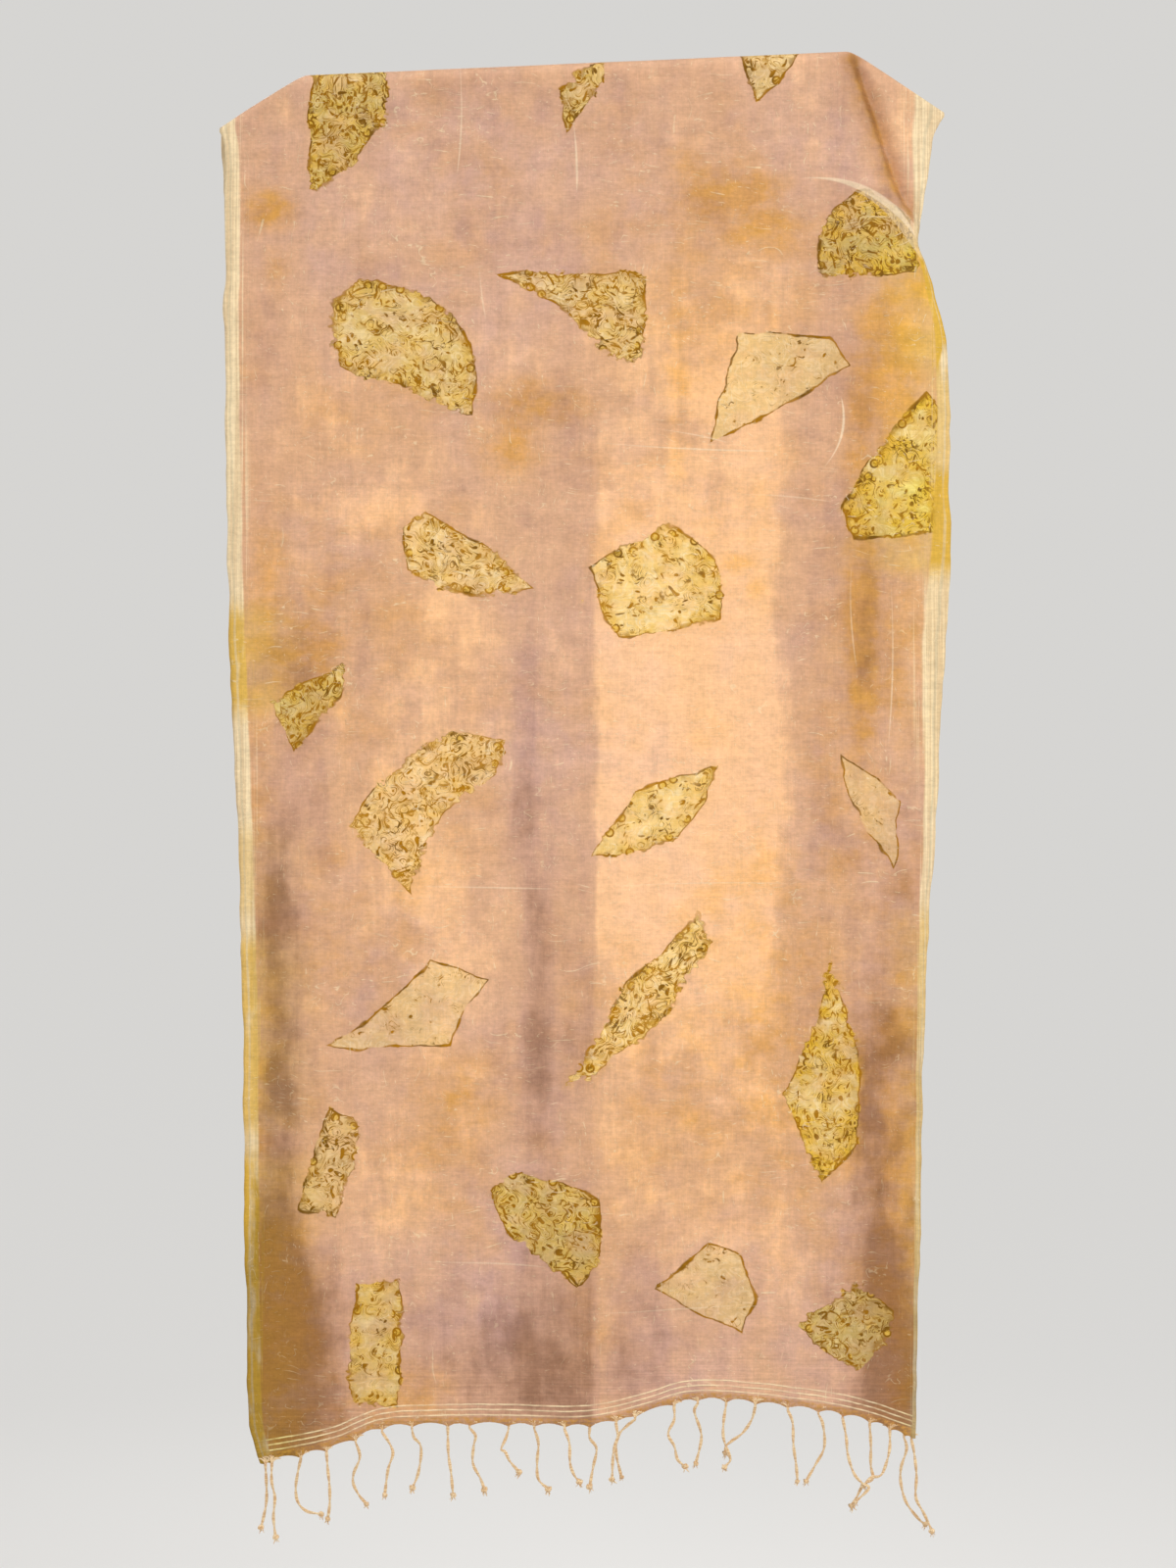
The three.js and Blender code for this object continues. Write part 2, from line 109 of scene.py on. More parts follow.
# Front half. Edge rows are (drop below the corner, place across); hem rows are (share of width, height).
# A fold row is its top place and drop, low place and drop, bow, half width and how far it stands out.
# Turn rows are (drop below the right corner, how far the selvedge turns in, from 0 to 1).
FRONT = {
    "side": -1,
    "left": [
        (0, -267), (14, -263.5), (200, -262), (344, -259.5), (489, -254), (634, -249),
        (852, -246.5), (945, -245), (972, -242.5), (993, -234),
    ],
    "right": [
        (0, 271), (24, 262), (70, 256), (96, 252.5), (112, 258), (139, 265.5), (170, 273),
        (283, 275), (345, 274.5), (486, 267), (609, 259), (754, 254), (964, 250), (984, 248),
    ],
    "turn": [(40, 0), (105, 1), (180, 0.45), (420, 0)],
    "hem": [
        (0, -1019), (0.14, -1007), (0.21, -994), (0.3, -991), (0.5, -991),
        (0.58, -983), (0.66, -973), (0.8, -978), (0.9, -986), (1, -1000),
    ],
    "folds": [
        (16, 230, 12, 1010, 0, 44, 6),
        (-46, 200, -40, 1010, -6, 38, -4.5),
        (128, 330, 118, 900, 6, 46, -4),
        (190, 300, 186, 960, 4, 36, 5),
        (-205, 480, -200, 1000, 2, 30, 4.5),
        (-158, 420, -150, 900, 0, 34, -3.5),
        (64, 820, 70, 1000, 0, 22, -3),
    ],
}

# Back half, which hangs a little shorter.
BACK = {
    "side": 1,
    "left": [(0, -267), (120, -259), (480, -250), (900, -240)],
    "right": [
        (0, 271), (24, 260), (70, 252), (96, 248), (140, 256), (200, 262), (480, 252), (900, 241),
    ],
    "turn": [(0, 0), (420, 0)],
    "hem": [(0, -917), (0.2, -902), (0.5, -896), (0.8, -900), (1, -914)],
    "folds": [
        (-120, 180, -128, 910, 4, 40, 5),
        (-30, 260, -22, 910, -4, 42, -4),
        (70, 220, 62, 910, 4, 44, 5.5),
        (160, 300, 168, 910, 0, 38, -4),
    ],
}

# Front strands: the root's place across, then points as (across, down) from the root.
FRONT_STRANDS = [
    (-231.3, [(0.5, 12), (0.5, 26), (-1.5, 38), (-3.5, 46)]),
    (-226.5, [(0, 12), (2.5, 24), (1.5, 38), (3, 53)]),
    (-205, [(-2.5, 11), (-4, 23), (-2, 33), (4.5, 39), (15, 41)]),
    (-186, [(1, 11), (2.5, 25), (2.5, 38), (1, 48)]),
    (-164.6, [(3, 11), (-1.5, 23), (-2, 31), (2.5, 40), (8, 46)]),
    (-145, [(6, 9), (8, 16), (4.5, 27), (2, 46)]),
    (-123, [(1.5, 6.5), (6, 12), (6.5, 21), (4, 35), (0, 44)]),
    (-96.5, [(0.5, 18), (2.5, 32), (4, 49)]),
    (-80.5, [(4.5, 6), (3, 14), (2.5, 27), (8, 38), (11, 46)]),
    (-51.5, [(-2, 7), (-5.5, 15), (-2.5, 17), (1, 24), (8, 32)]),
    (-32.5, [(3, 11), (2, 25), (3, 38), (10.5, 45)]),
    (-10, [(3.5, 10), (4, 24), (7, 33), (11, 38)]),
    (8.5, [(0, 7), (5, 15), (2.5, 29), (0, 43)]),
    (28, [(1, 9), (-2, 20), (-3, 40)]),
    (42, [(-6, 5), (-12, 12), (-14, 25), (-10, 43)]),
    (71, [(0, 9), (-4.5, 19), (0, 28), (2.5, 38), (8, 43)]),
    (88.5, [(-2.5, 6), (2, 20), (2.5, 29), (-1.5, 45)]),
    (109.5, [(-2, 13), (-2, 25), (2.5, 38), (2.5, 42), (-1.5, 46)]),
    (131, [(-2.5, 10), (-9, 20), (-17, 26), (-21.5, 30), (-22, 35)]),
    (155, [(3.5, 9), (4, 25), (6, 40), (7, 52)]),
    (177.5, [(3.5, 8), (4.5, 25), (-2, 38), (-9, 50)]),
    (195.5, [(2.5, 14), (3.5, 26), (8, 40), (14, 47), (19, 51), (9, 61)]),
    (215.5, [(1, 15), (1, 30), (2.5, 40), (-4.5, 45), (-9, 53), (-13, 60)]),
    (230.5, [(-0.5, 13), (-4.5, 27), (-8, 32), (-14, 33), (-20, 39)]),
    (241, [(2, 9), (-2, 23), (-2, 35), (2, 49), (11, 61), (16, 65)]),
    (246.5, [(2, 10), (3.5, 26), (3, 42), (9, 54), (15, 67)]),
]
BACK_STRANDS = 26

# Leaf fragments as plain outlines: corners of a square, clockwise, each with the bow of the edge after it.
FRAGMENTS = {
    "kite": [(-0.6, 1, 0.02), (0.68, 0.93, 0.01), (1, 0.42, 0.02), (-1, -1, 0.02)],
    "wedge": [(-1, 1, 0.01), (1, 0.77, 0.02), (0.9, -1, 0.02), (0.5, -0.95, -0.05)],
    "lobe": [
        (-1, 0.65, 0.02), (-0.6, 1, 0.04), (0.4, 0.72, 0.03), (1, 0.05, 0.02), (1, -1, 0.01),
        (-0.9, -0.25, 0.02),
    ],
    "fan": [
        (-1, 0.22, 0.02), (0.15, 1, 0.03), (0.85, 0.4, 0.05), (0.95, -0.65, 0.02), (-0.62, -1, 0.01),
    ],
    "leaf": [
        (-1, 0.7, 0.02), (-0.7, 1, 0.05), (1, -0.75, -0.02), (0.2, -1, 0.03), (-0.95, -0.35, 0.02),
    ],
    "tip": [(-1, -1, 0.03), (-0.25, 0.45, 0), (1, 1, 0.1), (0.3, -0.6, 0.03)],
    "wing": [
        (1, 0.93, 0), (0.9, 0.5, -0.12), (-0.2, -1, 0.01), (-0.95, -0.15, 0.09), (0.25, 0.98, 0.02),
    ],
    "gable": [(0.27, 1, 0.01), (1, 0.55, -0.06), (0.5, -0.9, 0.03), (-1, -0.9, -0.05)],
    "sliver": [(0.72, 1, 0), (1, 0.6, -0.05), (0.3, -0.15, 0.05), (-1, -1, -0.03), (-0.2, 0.25, -0.03)],
    "blade": [(0.2, 1, 0.02), (0.95, 0.1, 0.02), (0.85, -0.65, 0.02), (0, -1, 0.03), (-1, -0.2, -0.04)],
    "shard": [(0.95, 1, 0.02), (0.9, 0.4, 0.02), (-0.4, -1, 0.01), (-1, 0.1, 0.04)],
    "dome": [(-1, -1, 0.22), (-0.1, 1, 0.2), (1, -0.95, 0.01)],
    "taper": [
        (-1, 0.7, 0.02), (-0.4, 1, 0.02), (1, 0.6, 0.01), (1, -0.55, 0.01), (0.6, -1, 0.02),
        (-0.7, 0, 0.02),
    ],
    "lozenge": [(-1, 0.05, 0.03), (0.15, 1, 0.05), (1, 0.4, 0.04), (0.85, -0.3, 0.02), (0.2, -1, 0.03)],
    "strip": [(-0.4, 1, 0.02), (0.95, 1, 0.03), (0.6, -1, 0.01), (-0.95, -0.9, 0.03)],
    "block": [
        (-0.75, 1.1, 0), (0.85, 1.1, 0.01), (1, 0.2, 0.06), (-0.05, -0.5, 0), (-0.9, -1, 0),
        (-0.95, -0.1, 0.02),
    ],
    "sail": [
        (-1, 0.05, -0.03), (0.1, 0.98, 0.08), (0.75, 0.75, 0.03), (1, -0.2, 0.02), (0.75, -1, 0.03),
    ],
    "tooth": [(-1, 1, 0), (1, 1, 0.02), (0.55, 0.1, 0.03), (-0.2, -1, -0.02)],
    "flag": [(0.65, 1, 0.02), (1, 0.6, 0.01), (0.8, -0.85, 0.01), (-0.75, -0.95, 0), (-1, -0.55, 0.03)],
}

# Front prints: outline, middle across and up, half width and half height (negative mirrors it), turn in
# degrees, then speckle, fill, mustard and dullness from 0 to 1.
FRONT_PRINTS = [
    ("block", -170, -30, 30, 58, 0, 1, 0.9, 0.3, 0.9),
    ("shard", 1, -5, 15, 28, -10, 0.75, 0.8, 0.2, 0.6),
    ("tooth", 140, 13, 28, 22, -3, 0.55, 0.7, 0.05, 0.5),
    ("dome", 216, -107, 35, 31, 0, 0.95, 0.85, 0.6, 1),
    ("wedge", -4, -168, 54, 34, 2, 0.85, 0.75, 0.25, 0.4),
    ("lobe", -130, -191, 52, 49, 0, 0.6, 0.85, 0.4, 0.5),
    ("kite", 150, -221, 51, 40, 0, 0.1, 0.55, 0.05, 0.35),
    ("flag", 233, -280, 38, 56, 0, 0.6, 0.85, 0.95, 0.5),
    ("leaf", -81, -346, 48, 31, 0, 0.7, 0.7, 0.3, 0.1),
    ("fan", 59, -364, 50, 42, 0, 0.45, 0.85, 0.6, 0),
    ("shard", -199, -458, 28, 32, 0, 0.8, 0.85, 0.2, 0.7),
    ("wing", -113, -536, 59, 59, 0, 0.75, 0.6, 0.35, 0),
    ("tip", 56, -535, 45, 34, 0, 0.35, 0.8, 0.5, 0.05),
    ("shard", 219, -534, -20, 43, 8, 0.1, 0.4, 0, 0.4),
    ("gable", -126, -677, 59, 33, 0, 0.1, 0.45, 0.1, 0.3),
    ("sliver", 47, -675, 56, 63, 0, 0.85, 0.8, 0.35, 0.05),
    ("blade", 181, -727, 28, 80, 0, 0.62, 0.95, 0.85, 0.35),
    ("strip", -182, -797, -17, 38, -22, 0.7, 0.55, 0.1, 0.7),
    ("taper", -25, -845, 40, 41, 0, 0.6, 0.9, 0.3, 0.85),
    ("sail", 93, -888, 37, 33, 0, 0.2, 0.5, 0.1, 0.5),
    ("lozenge", 198, -917, 35, 31, 0, 0.68, 0.85, 0.05, 1),
    ("strip", -151, -929, 22, 46, 4, 0.42, 0.8, 0.5, 0.7),
]
BACK_PRINT_ROWS = 6
BACK_PRINT_COLUMNS = 3

# The most edges that an outline has.
ARCS = 6

# Soft round patches on the front, of dye and of painted light and shade: middle across and up, half width,
# half height, strength.
# Tan stains of leaf tannin:
STAINS = [
    (-231, -87, 20, 15, 1.5), (-223, -134, 9, 20, 0.5), (-62, -68, 18, 14, 0.4),
    (112, -76, 44, 20, 1.0), (136, -104, 34, 20, 1.0), (74, -200, 11, 120, 0.6),
    (-168, -240, 44, 36, 0.35), (-28, -232, 36, 17, 0.95), (-52, -262, 26, 24, 0.8),
    (-158, -322, 60, 40, 0.25), (-228, -372, 20, 58, 0.7), (-200, -420, 36, 56, 0.9),
    (-140, -414, 54, 32, 0.3), (114, -350, 20, 10, 0.7), (132, -368, 9, 8, 0.7),
    (232, -176, 28, 36, 1.25), (250, -140, 16, 36, 1.0), (226, -212, 30, 34, 1.1),
    (228, -398, 24, 54, 0.7), (-115, -648, 14, 10, 0.35), (-92, -748, 34, 34, 0.85),
    (-212, -862, 40, 34, 0.4), (-226, -950, 34, 40, 0.5), (-230, -682, 18, 40, 0.6),
    (72, -688, 56, 34, 0.25), (36, -790, 56, 40, 0.3), (208, -866, 14, 42, 0.45),
    (-204, -978, 44, 26, 0.6), (226, -982, 34, 26, 0.45), (246, -330, 9, 16, 1.0),
    (-110, -514, 40, 30, 0.2), (60, -320, 20, 12, 0.4), (90, -160, 66, 90, 0.35),
    (150, -700, 70, 150, 0.6), (-165, -470, 45, 70, 0.25), (206, -500, 40, 130, 0.5),
    (234, -420, 24, 80, 0.7), (-126, -968, 40, 28, 0.7), (80, -740, 60, 110, 0.42),
    (-170, -600, 60, 60, 0.35), (240, -262, 24, 50, 0.9), (-130, -212, 40, 30, 0.35),
    (84, -335, 50, 60, 0.35), (-118, -790, 44, 50, 0.4), (236, -820, 28, 240, 0.9),
    (-228, -930, 40, 130, 1.3), (-238, -540, 18, 200, 0.5), (240, -230, 18, 90, 1.0),
    (208, -250, 13, 70, 0.9), (211, -408, 14, 96, 1.6), (204, -742, 15, 80, 0.9),
    (-240, -800, 16, 120, 0.8), (78, -64, 26, 30, 0.5), (14, -910, 26, 50, 0.45),
    (-188, -650, 28, 44, 0.5),
]

# Rosier patches of the ground:
ROSE = [
    (-70, -60, 110, 60, 0.9), (-90, -170, 70, 60, 0.8), (30, -300, 60, 70, 0.4),
    (-180, -330, 30, 40, 0.8), (-20, -480, 50, 120, 0.6), (150, -560, 50, 120, 0.5),
    (-90, -890, 70, 60, 0.9), (130, -880, 50, 40, 0.9), (176, -890, 40, 60, 1.0),
    (-130, -680, 60, 60, 0.5), (230, -560, 30, 80, 0.6), (180, -60, 50, 60, 0.7),
    (60, -560, 40, 70, 0.5), (-235, -560, 20, 60, 0.5), (60, -950, 60, 40, 0.7),
    (-190, -130, 40, 60, 0.6), (-34, -124, 44, 50, 1.1), (-32, -826, 40, 50, 1.1),
]

# Lighter patches of the ground, or darker where the strength is below 0; partly dye tone and partly painted
# light and shade:
PATCHES = [
    (-146, -305, 36, 22, 0.45), (-101, -386, 40, 26, 0.5), (78, -270, 46, 16, 0.35),
    (-60, -470, 40, 60, 0.35), (-205, -480, 16, 50, -0.8), (-222, -590, 20, 60, -0.7),
    (-88, 0, 80, 26, -0.2), (60, -120, 60, 44, -0.15), (-20, -110, 60, 60, -0.3),
    (100, -420, 40, 60, 0.35), (120, -540, 30, 80, 0.4), (214, -430, 24, 60, -0.5),
    (-176, -700, 40, 34, -0.35), (-110, -600, 50, 20, 0.3), (-130, -840, 60, 30, 0.2),
    (40, -740, 40, 40, 0.15), (150, -830, 50, 40, -0.3), (222, -820, 16, 120, -0.7),
    (-230, -180, 16, 60, -0.3), (-80, -920, 40, 40, -0.4), (120, -960, 50, 26, 0.2),
    (196, -195, 26, 34, -0.5), (-112, -560, 28, 250, 0.4), (134, -440, 20, 200, 0.4),
    (-226, -920, 26, 130, -1.7), (-30, -430, 30, 160, 0.15), (-20, -130, 90, 70, 0.25),
    (238, -22, 12, 34, 0.3), (-214, -720, 14, 60, -0.5), (-214, -960, 30, 90, -0.6),
    (-190, -520, 10, 90, -0.4), (-160, -400, 8, 80, -0.3), (-176, -480, 9, 60, 0.4),
    (-160, -315, 50, 26, 0.35), (140, -335, 30, 24, 0.35), (140, -152, 40, 40, 0.6),
    (92, -215, 40, 30, 0.5), (140, -270, 40, 30, 0.6), (44, -325, 50, 34, 0.5),
    (192, -270, 24, 60, -0.5), (196, -350, 24, 50, -0.35), (-8, -450, 24, 60, 0.35),
    (-112, -570, 40, 70, 0.55), (146, -560, 30, 120, 0.6), (244, -540, 20, 90, -0.35),
    (-230, -640, 20, 60, -0.5), (-18, -720, 40, 40, -0.35), (150, -712, 60, 30, -0.4),
    (130, -845, 40, 40, 0.4), (-90, -885, 60, 40, 0.35), (190, -900, 30, 30, 0.3),
    (-262, -470, 16, 190, -0.8), (-224, -940, 34, 90, -0.8), (232, -930, 18, 70, -0.6),
    (232, -980, 40, 60, -0.7), (167, -825, 30, 54, 0.45), (-188, -880, 28, 70, -0.5),
    (167, -884, 34, 40, 0.45), (-188, -940, 26, 46, -0.35), (214, -404, 16, 84, -0.95),
    (212, -236, 18, 60, -0.35), (-232, -88, 20, 14, -0.7), (-36, -240, 40, 22, -0.5),
    (120, -84, 50, 22, -0.4), (-206, -430, 26, 46, -0.7), (208, -745, 12, 80, -0.6),
    (60, -590, 50, 60, 0.3),
]

# Mauve and peach bands down the front, partly dye tone and partly painted light and shade of the soft folds,
# with painted shade darker towards the bottom: left, right, top, bottom, softness across and along, and
# strength, which is below 0 where the band is darker.
BANDS = [
    (-50, 13, -230, -1000, 16, 70, -0.3),
    (-50, -30, -390, -580, 6, 40, -0.8),
    (-40, -20, -560, -770, 7, 50, -0.8),
    (13, 148, -330, -660, 16, 110, 0.8),
    (13, 152, -150, -980, 26, 130, 0.3),
    (206, 268, -640, -1010, 20, 80, -0.6),
    (138, 182, -330, -700, 10, 60, -0.4),
    (180, 206, 60, -190, 14, 60, -0.45),
    (-236, -206, -500, -1000, 12, 80, -0.8),
    (-250, 250, -880, -1100, 30, 60, -0.5),
    (-112, -60, -865, -1000, 14, 30, -0.35),
    (-66, 13, -865, -1000, 12, 30, -0.75),
    (24, 66, -850, -975, 10, 30, -0.7),
    (182, 262, -560, -960, 26, 80, -0.35),
]

# The cloth was once folded at this place across, which left a sharp edge between bands: painted shade on the
# fold's left flank and painted light on its right.
SHARP_EDGE = 13
SHARP = 2.5

# Pale creases: start and end across and up, width, bow of the line, strength.
CREASES = [
    (163, -66, 252, -112, 7.5, 0.15, 0.62), (200, -74, 256, -128, 15, 0.14, 0.35),
    (15, -262, 150, -268, 1.6, -0.01, 0.6), (60, -252, 112, -262, 1.3, 0.02, 0.5),
    (-118, -590, -15, -592, 1.5, 0.0, 0.5), (20, -590, 160, -588, 1.3, 0.01, 0.35),
    (231, -362, 229, -488, 1.4, 0.02, 0.6), (202, -352, 206, -430, 1.2, -0.03, 0.5),
    (-88, 20, -90, -66, 1.6, 0.03, 0.6), (-4, -20, -1, -78, 2.4, 0.02, 0.6),
    (-73, -132, -68, -172, 1.5, -0.02, 0.5), (180, -282, 194, -226, 2.6, -0.14, 0.7),
    (120, -300, 190, -306, 1.4, 0.02, 0.4), (-120, -868, -20, -872, 1.6, 0.01, 0.4),
    (10, -905, 120, -900, 1.4, -0.01, 0.4),
]

# Where plant dye has run into the selvedges: top, bottom, strength, on the left and the right.
LEFT_RUNS = [(-395, -450, 0.9), (-560, -600, 0.4), (-640, -760, 0.8), (-800, -1020, 1.0)]
RIGHT_RUNS = [(-120, -190, 1.0), (-190, -300, 0.6), (-300, -345, 1.0), (-345, -520, 0.1), (-620, -1000, 0.5)]
RUN_FADE = 24

# The right selvedge is turned under here and there: places up it, with the width that shows of the full one.
RIGHT_SELVEDGE = [
    (-1000, 4), (-900, 4.5), (-750, 6), (-620, 9), (-500, 14), (-420, 21), (-340, 19), (-250, 13),
    (-60, 17), (-14, 24),
]
FULL_SELVEDGE = 13.5

# Flat heights past the fold between which the back's plainer dyes take over, and how far from a print's
# edge its marks may reach.
BACK_BEGINS = 40
BACK_WHOLE = 160
PRINT_REACH = 12

# Heights of the raised cream lines above the fringe line.
HEM_LINES = (9.7, 13.6, 17.4)

# The camera's distance from the cloth's front and the height that it sees there, in metres, and how far the
# overhead light leans to the front.
VIEW_DISTANCE = 2.6
VIEW_HEIGHT = 1.16
OVERHEAD_LEAN = math.radians(12)


def ink(red, green, blue):
    """A display colour, 0 to 255, as the linear colour that shaders take."""
    shares = (value / 255 for value in (red, green, blue))
    return tuple(s / 12.92 if s <= 0.04045 else ((s + 0.055) / 1.055) ** 2.4 for s in shares)


# Dye colours that have no setting of their own, a print's colour in painted shade, and tints that the colour
# under them is multiplied by.
DRY_LEAF = ink(204, 174, 100)
LEAF_FLECK = ink(255, 230, 176)
SHADED_LEAF = ink(180, 144, 92)
GOLDEN_INK = ink(178, 120, 0)
GOLDEN_SPOT = ink(226, 164, 62)
HEM_TAN = ink(208, 152, 78)
SELVEDGE_LINE = ink(198, 162, 116)
COOL_LINE = ink(192, 184, 152)
DYED_SELVEDGE = ink(224, 178, 64)
PALE_CREASE = ink(250, 226, 190)
YARN_FIBRE = ink(206, 150, 92)
ROSY_TINT = (0.955, 0.995, 1.24)
SOAKED_TINT = (1.04, 1.14, 0.66)


def length_setting(name, description, default):
    return FloatProperty(name=name, description=description, default=default, unit="LENGTH")


def colour_setting(name, description, default):
    return FloatVectorProperty(name=name, description=description, subtype="COLOR", default=default)


class StoleCloth(bpy.types.PropertyGroup):
    """The draped silk."""
    thickness: length_setting("Thickness", "Thickness of the silk", 0.0005)
    crinkle: length_setting("Crinkle", "Depth of the small crinkles", 0.00045)
    scallop: length_setting("Edge Scallop", "How far the selvedges waver", 0.0014)
    selvedge: length_setting("Selvedge", "Width of the undyed selvedge band", 0.0135)
    outline: length_setting("Print Outline", "Width of the line round a leaf print", 0.0008)


class StoleDye(bpy.types.PropertyGroup):
    """Colours of the plant dyes; mauve, umber and peach also paint the light and shade of the ground."""
    ground: colour_setting("Ground", "Soft pink of the dyed silk", ink(223, 174, 136))
    mauve: colour_setting("Mauve", "Darker bands", ink(207, 160, 131))
    peach: colour_setting("Peach", "Lighter bands", ink(254, 200, 149))
    umber: colour_setting("Umber", "Deepest shade of the ground", ink(162, 119, 92))
    tan: colour_setting("Tan", "Tint of the leaf tannin stains", ink(255, 240, 180))
    khaki: colour_setting("Khaki", "Inside of a leaf print", ink(252, 214, 138))
    olive: colour_setting("Olive", "Outlines and specks of a print", ink(120, 80, 0))
    mustard: colour_setting("Mustard", "Golden parts of a print", ink(229, 180, 44))
    cream: colour_setting("Cream", "Undyed selvedge and slubs", ink(253, 230, 186))


class StoleFringe(bpy.types.PropertyGroup):
    """The knotted fringes."""
    strand: length_setting("Strand Radius", "Half the width of a strand", 0.0011)
    twists: FloatProperty(
        name="Twists per Metre", description="How often the two plies go round", default=230)
    knot: length_setting("Knot Radius", "Half the width of a tip knot", 0.0024)
    yarn: colour_setting("Yarn", "Colour of the fringe yarn", ink(222, 182, 132))
    seed: IntProperty(name="Seed", description="Varies the knots and gathers", default=7)


class StoleBar(bpy.types.PropertyGroup):
    """The wooden bar."""
    wood: colour_setting("Wood", "Colour of the bar", ink(160, 118, 76))
    grain: colour_setting("Grain", "Darker colour of the grain", ink(112, 76, 44))
    rounding: length_setting("End Rounding", "Rounding of the bar's ends", 0.003)


class StoleStage(bpy.types.PropertyGroup):
    """Floor, lights and camera."""
    floor_drop: length_setting("Floor Drop", "Floor's depth below the bar", 1.34)
    floor_colour: colour_setting("Floor", "Colour of the floor", (0.8, 0.79, 0.77))
    room: FloatProperty(name="Room Light", description="Strength of the light from all round", default=0.28)
    overhead: FloatProperty(
        name="Overhead Light", description="Strength of the soft light from above", default=1.8)
    key: FloatProperty(name="Key Light", description="Power of the main light", default=5.4, unit="POWER")
    fill: FloatProperty(name="Fill Light", description="Power of the soft light", default=2, unit="POWER")


class Weaver:
    """Short calls that add and link the shader nodes of one material."""

    def __init__(self, name):
        self.material = bpy.data.materials.new(name)
        self.material.use_nodes = True
        self.tree = self.material.node_tree
        self.shader = self.tree.nodes["Principled BSDF"]

    def add(self, kind, *values, **settings):
        """A new node, with values or links for its first inputs."""
        node = self.tree.nodes.new(kind)
        for name, value in settings.items():
            setattr(node, name, value)
        for value, socket in zip(values, node.inputs):
            self.put(value, socket)
        return node

    def put(self, value, socket):
        if isinstance(value, bpy.types.NodeSocket):
            self.tree.links.new(value, socket)
        elif socket.type == "RGBA" and len(value) == 3:
            socket.default_value = (*value, 1)
        else:
            socket.default_value = value

    def fill(self, node, **inputs):
        for name, value in inputs.items():
            self.put(value, node.inputs[name])
        return node

    def surface(self, inputs):
        for name, value in inputs.items():
            self.put(value, self.shader.inputs[name])

    def math(self, operation, *values, clamp=False):
        return self.add("ShaderNodeMath", *values, operation=operation, use_clamp=clamp).outputs[0]

    def plus(self, *values):
        return reduce(lambda total, value: self.math("ADD", total, value), values)

    def times(self, *values):
        return reduce(lambda total, value: self.math("MULTIPLY", total, value), values)

    def most(self, *values):
        return reduce(lambda total, value: self.math("MAXIMUM", total, value), values)

    def minus(self, value, less):
        return self.math("SUBTRACT", value, less)

    def fit(self, value, gain, base):
        """The value times gain, plus base."""
        return self.math("MULTIPLY_ADD", value, gain, base)

    def away(self, value, middle):
        """How far a value is from the middle, either way."""
        return self.math("ABSOLUTE", self.minus(value, middle))

    def vector(self, operation, *values):
        node = self.add("ShaderNodeVectorMath", *values, operation=operation)
        return node.outputs["Value" if operation in ("DISTANCE", "DOT_PRODUCT") else "Vector"]

    def scale(self, vector, factor):
        node = self.add("ShaderNodeVectorMath", vector, operation="SCALE")
        return self.fill(node, Scale=factor).outputs[0]

    def ramp(self, value, start, end):
        """0 below start and 1 above end, smooth between; start may be above end."""
        ends = (start, end, 0.0, 1.0) if start <= end else (end, start, 1.0, 0.0)
        return self.add("ShaderNodeMapRange", value, *ends, interpolation_type="SMOOTHSTEP").outputs[0]

    def mix(self, share, under, over, blend="MIX"):
        node = self.add("ShaderNodeMix", share, data_type="RGBA", blend_type=blend)
        self.put(under, node.inputs[6])
        self.put(over, node.inputs[7])
        return node.outputs[2]

    def attribute(self, name, output="Fac"):
        return self.add("ShaderNodeAttribute", attribute_name=name).outputs[output]

    def parts(self, vector):
        return self.add("ShaderNodeSeparateXYZ", vector).outputs

    def combine(self, x, y, z):
        return self.add("ShaderNodeCombineXYZ", x, y, z).outputs[0]

    def noise(self, place, wide, tall, shift, detail=2, roughness=0.5, output=0):
        """An uneven field whose bumps are about that wide and tall in mm; each field has its own shift."""
        stretched = self.vector("MULTIPLY", place, (1 / wide, 1 / tall, 1))
        moved = self.vector("ADD", stretched, (shift, shift * 0.7, shift * 1.3))
        node = self.add("ShaderNodeTexNoise", moved)
        self.fill(node, Scale=1.0, Detail=detail, Roughness=roughness)
        return node.outputs[output]

    def swing(self, place, *field):
        """An uneven field about 0."""
        return self.minus(self.noise(place, *field), 0.5)

    def spots(self, place, field, low, high):
        """Soft spots where an uneven field is above low."""
        return self.ramp(self.noise(place, *field), low, high)

    def drift(self, place, field, reach):
        """An uneven shift of places, by up to half of reach each way."""
        colours = self.noise(place, *field, output=1)
        return self.scale(self.vector("SUBTRACT", colours, (0.5, 0.5, 0.5)), reach)

    def cells(self, place, size, output, shift, feature="F1"):
        moved = self.vector("ADD", place, (shift, shift * 0.6, 0))
        node = self.add("ShaderNodeTexVoronoi", moved, voronoi_dimensions="2D", feature=feature)
        return self.fill(node, Scale=1 / size).outputs[output]

    def body_place(self):
        """Places in mm on the body that a piece rides."""
        return self.scale(self.add("ShaderNodeTexCoord").outputs["Object"], 1000.0)

    def bump(self, height, distance, strength):
        node = self.fill(self.add("ShaderNodeBump"), Height=height, Distance=distance, Strength=strength)
        self.put(node.outputs[0], self.shader.inputs["Normal"])


def lerp(start, end, share):
    return start + (end - start) * share


def smoothstep(value, low, high):
    share = np.clip((value - low) / (high - low), 0, 1)
    return share * share * (3 - 2 * share)


def window(value, rise, risen, fall, fallen):
    """1 from risen to fall and 0 outside rise and fallen, smooth between."""
    return smoothstep(value, rise, risen) * (1 - smoothstep(value, fall, fallen))


def bell(value, width):
    return np.exp(-((value / width) ** 2))


def patch(x, z, middle_x, middle_z, wide, tall, strength):
    """A soft round patch about a middle."""
    return strength * np.exp(-(((x - middle_x) / wide) ** 2) - ((z - middle_z) / tall) ** 2)


